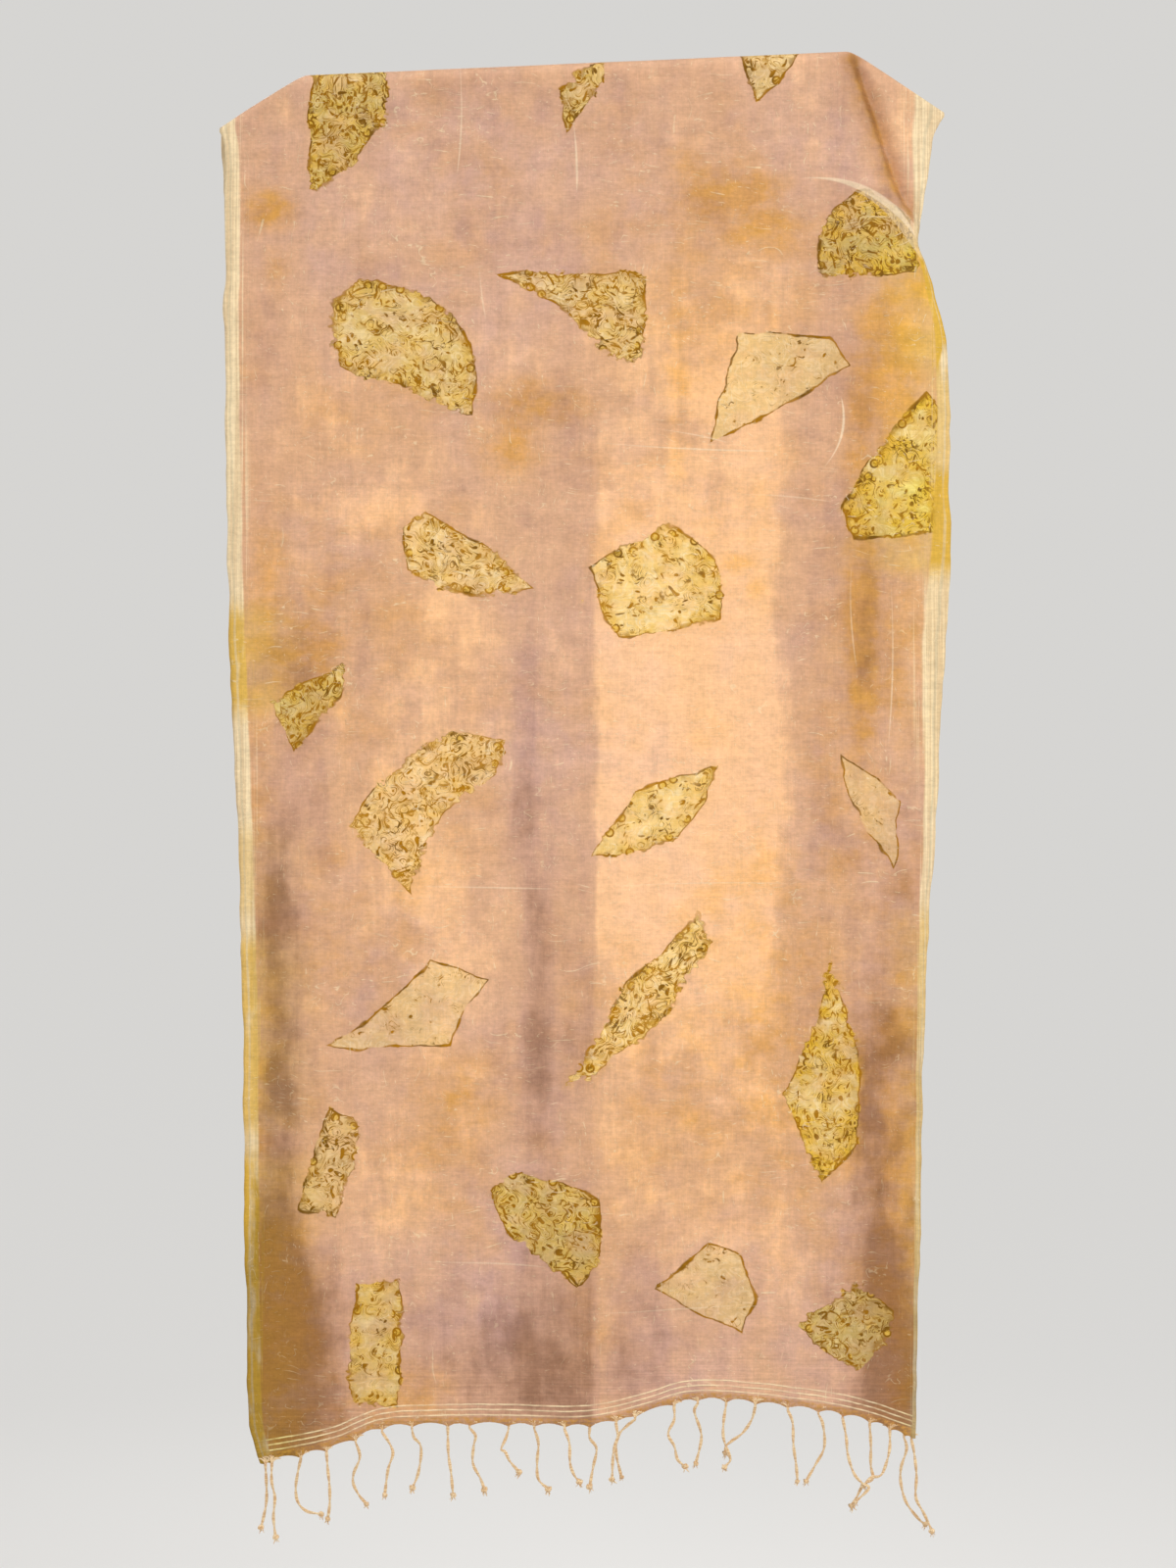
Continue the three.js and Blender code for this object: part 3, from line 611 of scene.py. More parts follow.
def through(rows, at):
    """The smooth curve through (place, value) rows, read at an array of places."""
    places, values = (np.array(column, float) for column in zip(*rows))
    steps = np.diff(values) / np.diff(places)
    slopes = np.concatenate([steps[:1], (values[2:] - values[:-2]) / (places[2:] - places[:-2]), steps[-1:]])
    i = np.searchsorted(places[1:-1], at, side="left")
    span = places[i + 1] - places[i]
    share = np.clip((at - places[i]) / span, 0, 1)
    rise = share * share * (3 - 2 * share)
    lean = slopes[i] * (1 - share) - slopes[i + 1] * share
    return lerp(values[i], values[i + 1], rise) + span * share * (1 - share) * lean


def ripple(seed, across, down, wide, tall):
    """A smooth uneven field from -1 to 1, whose bumps are that wide and tall in mm."""
    lattice = np.random.default_rng(seed).uniform(-1, 1, (97, 89))
    a, b = across / wide, down / tall
    i, j = np.floor(a).astype(int), np.floor(b).astype(int)
    s, t = smoothstep(a - i, 0, 1), smoothstep(b - j, 0, 1)
    corner = lambda p, q: lattice[(i + p) % 97, (j + q) % 89]
    return lerp(lerp(corner(0, 0), corner(1, 0), s), lerp(corner(0, 1), corner(1, 1), s), t)


def fold_line(along):
    """The top of the fold: across, height and the fold's radius."""
    way = np.sign(along)
    past = np.maximum(np.abs(along) - STRAIGHT_HALF, 0)
    droop = np.where(way < 0, LEFT_DROOP, RIGHT_DROOP)
    bend = CORNER_BEND * past / (past + CORNER_BEND)
    reach = past * np.cos(droop) + (1 - np.cos(droop)) * bend
    fall = np.sin(droop) * (past - bend) - way * math.sin(BAR_TILT) * bend
    straight = np.clip(along, -STRAIGHT_HALF, STRAIGHT_HALF)
    above = BAR_FLAT_TO_AXIS + FOLD_RADIUS
    x = straight * math.cos(BAR_TILT) - above * math.sin(BAR_TILT) + way * reach
    z = straight * math.sin(BAR_TILT) + above * math.cos(BAR_TILT) - fall
    return x, z, lerp(CORNER_FOLD_RADIUS, FOLD_RADIUS, np.exp(-past / CORNER_CLOSING))


def share_at(along):
    return (along - FOLD_START) / (FOLD_END - FOLD_START)


def folds_out(half, across, drop):
    """How far a half's soft folds stand out at a place."""
    out = np.zeros(np.broadcast(across, drop).shape)
    for top_x, top, low_x, low, bow, width, height in half["folds"]:
        t = (drop - top) / (low - top)
        inside = np.clip(t, 0, 1)
        line = lerp(top_x, low_x, inside) + bow * 4 * inside * (1 - inside)
        out += height * window(t, -0.05, 0.35, 0.9, 1.3) * bell(across - line, width)
    return out


# Places (up, across) of the sharp crease that runs from the bar's right end down to the selvedge, the
# cosine of its slope, the lap beside it, and places (across, up) of the pale arc below it.
CREASE = [(-103, 252), (-80, 236), (-57, 227), (-22, 216), (9, 205), (29, 199)]
CREASE_SLOPE = 0.87
LAP_HEIGHT = 4.2
LAP_WIDTH = 4.6
ARC = [(178, -65), (203, -68), (228, -75), (243, -107)]


def beside_crease(x, z):
    return (x - through(CREASE, z)) * CREASE_SLOPE


def crease_shade(x, z):
    """Painted shade along the crease, from 0 to 1."""
    beside = beside_crease(x, z)
    trough = 0.45 * bell(beside - 2, 2.4) + 0.55 * bell(beside, 8)
    return window(z, -112, -84, 20, 30) * trough


def corner_creases(x, z):
    """The crease from the bar's right end, the stretched ridge beside it and the bulge below."""
    beside = beside_crease(x, z)
    before = LAP_HEIGHT * np.exp(np.minimum(beside, 0) / 15)
    step = LAP_HEIGHT - 2 * LAP_HEIGHT * smoothstep(beside, 0, LAP_WIDTH)
    after = -LAP_HEIGHT * np.exp(-(beside - LAP_WIDTH) / 8)
    lap = np.where(beside < 0, before, np.where(beside > LAP_WIDTH, after, step))
    stretched = 3.2 * bell(beside - 15, 6)
    crescent = 1.3 * bell(z - through(ARC, x), 3.5) * window(x, 172, 196, 234, 246)
    bulge = 3.6 * bell(x - 228, 34) * bell(z + 122, 40)
    return window(z, -116, -88, 8, 26) * (lap + stretched) + crescent + bulge


def hanging(half, along, drop):
    """Points of the cloth's middle surface below the fold, in mm."""
    fold_x, fold_z, radius = fold_line(along)
    corner_z = [fold_line(np.array(float(end)))[1] for end in (FOLD_START, FOLD_END)]
    share = share_at(along)
    local = 1 + EDGE_PULL * (1 - smoothstep(drop, 0, EDGE_PULL_DEPTH))
    z = fold_z - drop
    left, right = (
        through(half[edge], np.maximum(top - z, 0)) - half[edge][0][1]
        for edge, top in zip(("left", "right"), corner_z)
    )
    turn = through(half["turn"], corner_z[1] - z)
    crowding = CROWDING * turn * share ** CROWDING_POWER * (1 - share) * (FOLD_END - FOLD_START)
    x = fold_x + left * (1 - share) ** local + right * share ** local + crowding
    settled = smoothstep(drop, radius, HANG_SETTLE)
    apart = lerp(radius, HANG_GAP, settled) + folds_out(half, x, drop)
    apart = apart - TURNED_IN * turn * share ** TURNED_POWER
    if half is FRONT:
        apart = apart + corner_creases(x, z)
    return x, half["side"] * np.maximum(apart, CORNER_FOLD_RADIUS), z


def hem_point(half, along):
    height = through(half["hem"], share_at(along))
    return hanging(half, along, fold_line(along)[1] - height)


def hem_places(half, roots):
    """Places along the fold line whose cloth meets the fringe line at the roots, and those points."""
    low = np.full(len(roots), float(FOLD_START))
    high = np.full(len(roots), float(FOLD_END))
    for _ in range(24):
        middle = (low + high) / 2
        short = hem_point(half, middle)[0] < roots
        low, high = np.where(short, middle, low), np.where(short, high, middle)
    return low, np.stack(hem_point(half, low), axis=-1)


def back_strands():
    """The back fringe's strands, in the same form as the front's."""
    rows = []
    for i in range(BACK_STRANDS):
        root = lerp(-235, 236, i / (BACK_STRANDS - 1)) + 3 * math.sin(i * 2.3)
        bend, sway = 4 * math.sin(i * 1.7), 6 * math.sin(i * 2.9)
        length = 45 + 5 * math.cos(i * 1.3)
        rows.append((root, [
            (bend * 0.5, 10), (bend, 22), (lerp(bend, sway, 0.6), 0.75 * length), (sway, length),
        ]))
    return rows


def hem_scallop(half, along, roots):
    """How far above the fringe line the cloth ends: it dips to each root and rises between two."""
    places = np.concatenate([[FOLD_START - 4], np.sort(hem_places(half, roots)[0]), [FOLD_END + 4]])
    i = np.clip(np.searchsorted(places, along) - 1, 0, len(places) - 2)
    gap = places[i + 1] - places[i]
    share = np.clip((along - places[i]) / gap, 0, 1)
    return ROOT_RISE + np.minimum(gap * SCALLOP_SHARE, SCALLOP_MOST) * np.sin(math.pi * share) ** 0.6


def cloth_columns():
    """Places along the fold line: closer together past the bar's ends, where the cloth creases."""
    left = np.linspace(FOLD_START, CREASED_LEFT, 25)[:-1]
    middle = np.linspace(CREASED_LEFT, CREASED_RIGHT, 82)[:-1]
    right = np.linspace(CREASED_RIGHT, FOLD_END, 50)
    return np.concatenate([left, middle, right])


def cloth_rows(near, far):
    """Shares of the way down a half, closer together over its first fifth."""
    return np.concatenate([np.linspace(0, 0.2, near)[:-1], np.linspace(0.2, 1, far)])


def cloth_grid():
    """The middle surface: points in mm, and for each its flat height and height above the fringe line."""
    along = cloth_columns()
    fold_x, fold_z, radius = fold_line(along)
    points, flats, hems = [], [], []
    for half, steps, strands in (
        (FRONT, cloth_rows(62, 141)[:0:-1], FRONT_STRANDS), (BACK, cloth_rows(22, 62)[1:], back_strands()),
    ):
        end = fold_z - through(half["hem"], share_at(along))
        full = end - hem_scallop(half, along, np.array([row[0] for row in strands]))
        drop = radius + (full - radius) * steps[:, None]
        x, y, z = hanging(half, along, drop)
        points.append(np.stack([x, y, z], axis=-1))
        flats.append(z if half is FRONT else fold_z + drop)
        hems.append(end - drop)
        if half is FRONT:
            angles = np.linspace(-math.pi / 2, math.pi / 2, 15)[:, None]
            points.append(np.stack([
                fold_x + 0 * angles, radius * np.sin(angles), fold_z - radius * (1 - np.cos(angles)),
            ], axis=-1))
            flats.append(fold_z + radius * angles / (math.pi / 2))
            hems.append(0 * angles + end - radius)
    return along, np.concatenate(points), np.concatenate(flats), np.concatenate(hems)


def grid_normals(points):
    across = np.gradient(points, axis=1)
    up = np.gradient(points, axis=0)
    normal = np.cross(across, up)
    return normal / np.linalg.norm(normal, axis=-1, keepdims=True)


def crinkled(points, along, flats, settings):
    """Small crinkles over the cloth, and selvedges that waver."""
    x = points[..., 0]
    edge = np.minimum(along - FOLD_START, FOLD_END - along)
    way = np.where(along < 0, -1, 1)
    side = x * 0 + 40 * way
    waver = 0.65 * ripple(11, side, flats, 1, 27) + 0.35 * ripple(12, side, flats, 1, 11)
    moved = points.copy()
    moved[..., 0] += way * waver * settings.scallop / MM * np.exp(-edge / 14)
    moved[..., 1] += 1.1 * ripple(13, side, flats, 1, 34) * np.exp(-edge / 16)
    depth = (
        0.55 * ripple(1, x, flats, 34, 20) + 0.5 * ripple(2, x + 0.35 * flats, flats, 17, 11)
        + 0.3 * ripple(3, x - 0.5 * flats, flats, 12, 12) + 0.5 * ripple(4, x, flats, 60, 13)
    )
    off_bar = smoothstep(np.abs(points[..., 2] - fold_line(along)[1]), 8, 40)
    depth = depth * settings.crinkle / MM * (0.25 + 0.75 * off_bar)
    return moved + grid_normals(moved) * depth[..., None]


def closed_sheet(name, points, thickness):
    """A closed sheet about a grid of points in mm. Its vertices are the outer grid, then the inner one."""
    rows, columns = points.shape[:2]
    normals = grid_normals(points)
    faces = (points + normals * thickness / 2, points - normals * thickness / 2)
    places = np.concatenate([face.reshape(-1, 3) for face in faces]) * MM
    index = np.arange(rows * columns).reshape(rows, columns)
    inner = index + rows * columns

    def quads(a, b, c, d):
        return np.stack([a, b, c, d], axis=-1).reshape(-1, 4)

    lists = [
        quads(index[:-1, :-1], index[:-1, 1:], index[1:, 1:], index[1:, :-1]),
        quads(inner[:-1, :-1], inner[1:, :-1], inner[1:, 1:], inner[:-1, 1:]),
        quads(index[:-1, 0], index[1:, 0], inner[1:, 0], inner[:-1, 0]),
        quads(index[:-1, -1], inner[:-1, -1], inner[1:, -1], index[1:, -1]),
        quads(index[0, :-1], inner[0, :-1], inner[0, 1:], index[0, 1:]),
        quads(index[-1, :-1], index[-1, 1:], inner[-1, 1:], inner[-1, :-1]),
    ]
    mesh = bpy.data.meshes.new(name)
    mesh.from_pydata(places.tolist(), [], np.concatenate(lists).tolist())
    mesh.shade_smooth()
    mesh.update()
    return mesh


def paint(mesh, name, values):
    """Stores a grid's values, single or in threes, at the vertices of both faces of a closed sheet."""
    single = values.ndim == 2
    attribute = mesh.attributes.new(name, "FLOAT" if single else "FLOAT_VECTOR", "POINT")
    flat = np.concatenate([values.reshape(-1), values.reshape(-1)]).astype(np.float32)
    attribute.data.foreach_set("value" if single else "vector", flat)


def edge_arcs(corners):
    """Each edge of an outline as a circle's middle and radius, below 0 where the edge bows inwards."""
    arcs = []
    for (ax, ay, bow), (bx, by, _) in zip(corners, corners[1:] + corners[:1]):
        chord = math.hypot(bx - ax, by - ay)
        rise = bow * chord
        rise = rise if abs(rise) > 0.004 * chord else 0.004 * chord
        radius = (chord * chord / 4 + rise * rise) / (2 * abs(rise))
        # Corners run clockwise, so the inside is on the right of each edge.
        inward = ((by - ay) / chord, (ax - bx) / chord)
        way = 1 if rise > 0 else -1
        reach = (radius - abs(rise)) * way
        arcs.append(((ax + bx) / 2 + inward[0] * reach, (ay + by) / 2 + inward[1] * reach, radius * way))
    return arcs


def placed_outline(kind, x, z, wide, tall, turn):
    """A fragment's corners at its place on the flat cloth, clockwise."""
    cos, sin = math.cos(math.radians(turn)), math.sin(math.radians(turn))
    corners = []
    for a, b, bow in FRAGMENTS[kind]:
        a, b = a * wide, b * tall
        corners.append((x + a * cos - b * sin, z + a * sin + b * cos, bow))
    if wide * tall < 0:
        corners = [(*corners[i][:2], corners[i - 1][2]) for i in range(len(corners) - 1, -1, -1)]
    return corners


def longest_way(corners):
    """The direction of an outline's longest diagonal, along which its veins run."""
    spans = [(bx - ax, by - ay) for ax, ay, _ in corners for bx, by, _ in corners if bx > ax]
    across, up = max(spans, key=lambda span: math.hypot(*span))
    return across / math.hypot(across, up), up / math.hypot(across, up)


def back_prints():
    """Invented prints for the back half, on uneven rows."""
    random = np.random.default_rng(23)
    kinds = list(FRAGMENTS)
    rows = []
    for r in range(BACK_PRINT_ROWS):
        for c in range(BACK_PRINT_COLUMNS):
            x = -165 + 165 * c + random.uniform(-28, 28)
            z = 120 + 140 * r + 45 * (c % 2) + random.uniform(-20, 20)
            kind = kinds[int(random.integers(len(kinds)))]
            size = random.uniform(26, 50)
            ranges = ((0.7, 1.25), (-180, 180), (0.1, 0.85), (0.6, 1), (0, 0.5), (0, 1))
            tall, turn, *look = (random.uniform(*ends) for ends in ranges)
            rows.append((kind, x, z, size, size * tall, turn, *look))
    return rows


def paint_prints(mesh, x, flats):
    """Stores each place's nearest print: its edge arcs, its look, and how near it is."""
    nearest = np.full(x.shape, 1e9)
    arcs = np.zeros((ARCS, *x.shape, 3))
    look = np.zeros((*x.shape, 3))
    way = np.zeros((*x.shape, 3))
    for kind, px, pz, wide, tall, turn, speckle, fill, mustard, dull in FRONT_PRINTS + back_prints():
        outline = placed_outline(kind, px, pz, wide, tall, turn)
        edges = edge_arcs(outline)
        edges += edges[-1:] * (ARCS - len(edges))
        outside = np.full(x.shape, -1e9)
        for cx, cy, radius in edges:
            gap = np.hypot(x - cx, flats - cy) - abs(radius)
            outside = np.maximum(outside, gap * math.copysign(1, radius))
        closer = outside < nearest
        nearest = np.where(closer, outside, nearest)
        look[closer] = (speckle, fill, mustard)
        way[closer] = (*longest_way(outline), dull)
        for k, arc in enumerate(edges):
            arcs[k][closer] = arc
    for k in range(ARCS):
        paint(mesh, f"print_arc_{k + 1}", arcs[k])
    paint(mesh, "print_look", look)
    paint(mesh, "print_way", way)
    paint(mesh, "print_near", (nearest < PRINT_REACH).astype(float))


def paint_dyes_and_shade(mesh, x, along, flats, hems):
    """Stores stains, bands of dye tone and painted light and shade, the crease's painted shade, selvedge runs
    and the distances that the silk's material reads.
    """
    # Painted shade along the crease darkens the tone and, through the stains, tints the crease tan.
    shade = crease_shade(x, flats)
    stain_and_crease_shade = np.max([patch(x, flats, *row) for row in STAINS] + [1.3 * shade], axis=0)
    rose = np.max([patch(x, flats, *row) for row in ROSE], axis=0)
    tone_light_and_shade = -1.9 * shade
    for left, right, top, bottom, soft, fade, strength in BANDS:
        start, end = (SHARP if edge == SHARP_EDGE else soft for edge in (left, right))
        inside = window(x, left - start, left + start, right - end, right + end)
        tone_light_and_shade += strength * inside * window(flats, bottom - fade, bottom + fade, top - fade, top + fade)
    tone_light_and_shade = sum((patch(x, flats, *row) for row in PATCHES), tone_light_and_shade)
    # The back half, which no photo shows, has plainer dyes.
    on_back = smoothstep(flats, BACK_BEGINS, BACK_WHOLE)
    rose = lerp(rose, 0.8 * np.clip(ripple(34, x, flats, 100, 130), 0, 1), on_back)
    tone_light_and_shade = lerp(tone_light_and_shade, 0.7 * ripple(31, x, flats, 90, 420), on_back)
    stain_and_crease_shade = lerp(stain_and_crease_shade, 0.5 * np.clip(ripple(32, x, flats, 90, 110), 0, 1), on_back)
    run = np.zeros(x.shape)
    for runs, side in ((LEFT_RUNS, along < 0), (RIGHT_RUNS, along > 0)):
        for top, bottom, strength in runs:
            run += side * strength * window(flats, bottom - RUN_FADE, bottom, top, top + RUN_FADE)
    run = lerp(run, np.clip(ripple(33, x * 0, flats, 1, 120), 0, 1), on_back)
    edge = np.minimum(along - FOLD_START, FOLD_END - along) + 0 * flats
    shown = through(RIGHT_SELVEDGE, flats) / FULL_SELVEDGE
    edge = np.where((along > 0) & (flats < BACK_BEGINS), edge / shown, edge)
    paint(mesh, "cloth_dye_and_shade", np.stack([stain_and_crease_shade, tone_light_and_shade, run], axis=-1))
    paint(mesh, "cloth_place", np.stack([x, flats, hems], axis=-1))
    paint(mesh, "selvedge_in", edge)
    paint(mesh, "rose_dye", rose)


def unwrap(mesh, along, points):
    """A UV map in metres: across the cloth, and down it from the front hem."""
    step = np.linalg.norm(np.diff(points, axis=0), axis=-1).mean(axis=1)
    down = np.concatenate([[0], np.cumsum(step)])
    u, v = np.meshgrid(along - FOLD_START, down)
    flat = np.stack([u.reshape(-1), v.reshape(-1)], axis=-1) * MM
    both = np.concatenate([flat, flat])
    loops = np.empty(len(mesh.loops), int)
    mesh.loops.foreach_get("vertex_index", loops)
    layer = mesh.uv_layers.new(name="UVMap")
    layer.data.foreach_set("uv", both[loops].reshape(-1).astype(np.float32))


def print_edge(w, place, ragged):
    """Distance in mm from the nearest print's torn edge, below 0 inside it."""
    torn = w.drift(place, (6, 5, 9.2, 1.5), w.fit(ragged, 12.0, 1.6))
    warped = w.vector("ADD", w.vector("ADD", place, w.drift(place, (26, 22, 3.1, 1), 9.0)), torn)
    flat = w.vector("MULTIPLY", warped, (1, 1, 0))
    gaps = []
    for k in range(ARCS):
        arc = w.attribute(f"print_arc_{k + 1}", "Vector")
        middle, radius = w.vector("MULTIPLY", arc, (1, 1, 0)), w.parts(arc)[2]
        gap = w.minus(w.vector("DISTANCE", flat, middle), w.math("ABSOLUTE", radius))
        gaps.append(w.times(gap, w.math("SIGN", radius)))
    return w.most(*gaps)


def add_prints(w, place, ground, level, dye, outline):
    """Leaf prints over the ground colour."""
    near = w.ramp(w.attribute("print_near"), 0.4, 0.9)
    speckle, fill, mustard = w.parts(w.attribute("print_look", "Vector"))[:3]
    across, up, dull = w.parts(w.attribute("print_way", "Vector"))[:3]
    ragged = w.times(w.spots(place, (34, 30, 66, 1), 0.44, 0.6), w.ramp(speckle, 0.15, 0.6))
    edge = print_edge(w, place, ragged)
    inside = w.times(w.ramp(edge, 0.5, -0.5), near)
    patchy = w.noise(place, 13, 11, 5.7, 3)
    # Marks follow the veins, along the fragment's longest way, and crowd in some parts of it.
    x, z = w.parts(place)[:2]
    along_veins = w.plus(w.times(x, across), w.times(z, up))
    veins = w.combine(along_veins, w.minus(w.times(z, across), w.times(x, up)), 0.0)
    bent = w.vector("ADD", veins, w.drift(place, (17, 17, 2.2, 1), 22.0))
    written = w.noise(bent, 9, 7, 15, 1)
    crowd = w.plus(speckle, w.times(w.minus(patchy, 0.5), 2.6))
    # Fill: khaki, golden towards the rim and where marks crowd, thinner where the leaf barely touched.
    gold = w.times(mustard, w.ramp(patchy, 0.32, 0.54), w.fit(w.ramp(edge, -14.0, -1.0), 0.45, 0.45))
    gold = w.fit(w.times(w.ramp(crowd, 0.4, 1.2), w.ramp(written, 0.4, 0.6)), 0.42, gold)
    inner = w.mix(dull, dye.khaki, DRY_LEAF)
    flecks = w.times(w.spots(bent, (15, 9, 45), 0.48, 0.6), w.fit(dull, -0.5, 0.75))
    inner = w.mix(flecks, inner, LEAF_FLECK)
    # Painted shade: a print darkens where the ground under it is darker.
    inner = w.mix(w.times(w.ramp(level, 0.0, -1.5), 0.4), inner, SHADED_LEAF)
    inner = w.mix(gold, inner, dye.mustard)
    shown = w.fit(w.spots(place, (20, 16, 21.4, 3), 0.3, 0.6), 0.45, 0.68)
    colour = w.mix(w.times(shown, fill, inside), ground, inner)
    # Marks: short strokes, wavy lines side by side, broken vein lines, cell walls and blots.
    long_cells = w.vector("MULTIPLY", bent, (0.55, 1, 1))
    chance = w.parts(w.cells(long_cells, 5.2, "Color", 2))[0]
    strokes = w.times(
        w.ramp(w.cells(long_cells, 5.2, "Distance", 2), 0.26, 0.17),
        w.ramp(w.minus(w.times(crowd, 0.8), chance), -0.1, 0.06))
    waves = w.ramp(w.math("PINGPONG", w.noise(bent, 44, 20, 14.2, 1), 0.09), 0.036, 0.02)
    waves = w.times(waves, w.ramp(written, 0.47, 0.52), w.ramp(crowd, 0.3, 0.6))
    ribs = w.ramp(w.away(w.noise(bent, 70, 16, 12, 0), 0.5), 0.026, 0.012)
    ribs = w.times(ribs, w.spots(place, (12, 12, 17), 0.47, 0.54), w.ramp(crowd, 0.0, 0.3))
    walls = w.ramp(w.cells(bent, 10.5, "Distance", 12, "DISTANCE_TO_EDGE"), 0.07, 0.03)
    walls = w.times(walls, w.spots(place, (12, 12, 27), 0.54, 0.6), w.ramp(crowd, 0.3, 0.6))
    blots = w.times(w.spots(bent, (8, 5, 33), 0.59, 0.64), w.ramp(crowd, 0.6, 1.0), 0.75)
    rim_blots = w.times(
        w.spots(place, (8, 7, 71), 0.52, 0.6), w.ramp(edge, -6.0, -1.0), w.ramp(speckle, 0.2, 0.5), 0.6)
    marks = w.times(w.most(strokes, waves, ribs, walls, blots, rim_blots), inside)
    # Torn outline: a thin line, broken in places and blotted in others, with bubbles along it.
    broken = w.noise(place, 17, 17, 41)
    width = w.fit(w.ramp(broken, 0.5, 0.72), 1.6, outline / MM)
    line = w.ramp(w.math("DIVIDE", w.math("ABSOLUTE", edge), width), 1.0, 0.3)
    line = w.times(line, w.ramp(broken, 0.36, 0.44), w.fit(ragged, -0.5, 1.0), near)
    bubble = w.cells(place, 14, "Distance", 7)
    chosen = w.times(
        w.math("GREATER_THAN", w.parts(w.cells(place, 14, "Color", 7))[1], 0.4),
        w.ramp(edge, 1.8, 0.6), w.ramp(edge, -6.0, -5.0), w.ramp(speckle, 0.15, 0.35), near)
    rings = w.times(w.ramp(w.away(bubble, 0.2), 0.07, 0.03), chosen)
    colour = w.mix(w.times(w.ramp(bubble, 0.21, 0.15), chosen, 0.6), colour, dye.mustard)
    halo = w.times(w.ramp(edge, 6.0, -3.0), near, mustard, w.ramp(patchy, 0.4, 0.6), 0.4)
    colour = w.mix(halo, colour, dye.mustard)
    # All marks share one ink, deeper in some places and golden in others.
    depth = w.fit(dull, 0.12, w.fit(w.noise(place, 9, 9, 52), 0.8, 0.54))
    golden = w.times(w.spots(place, (14, 14, 61), 0.32, 0.56), w.fit(dull, -0.5, 1.0))
    return w.mix(w.times(w.most(marks, line, rings), depth), colour, w.mix(golden, dye.olive, GOLDEN_INK))


def pale_crease(w, place, x1, z1, x2, z2, width, bow, strength):
    """A pale line that tapers to both ends, bowed sideways by a share of its length."""
    length = math.hypot(x2 - x1, z2 - z1)
    from_start = w.vector("SUBTRACT", place, (x1, z1, 0))
    along = w.vector("DOT_PRODUCT", from_start, ((x2 - x1) / length ** 2, (z2 - z1) / length ** 2, 0))
    across = w.vector("DOT_PRODUCT", from_start, ((z1 - z2) / length, (x2 - x1) / length, 0))
    arch = w.math("MULTIPLY", w.times(along, w.minus(1.0, along)), 4.0, clamp=True)
    gap = w.math("ABSOLUTE", w.fit(arch, -bow * length, across))
    half_width = w.times(arch, w.fit(along, 0.9, 0.25), width / 2)
    inside = w.ramp(w.minus(half_width, gap), -0.5, 0.7)
    return w.times(inside, w.ramp(arch, 0.0, 0.3), strength)


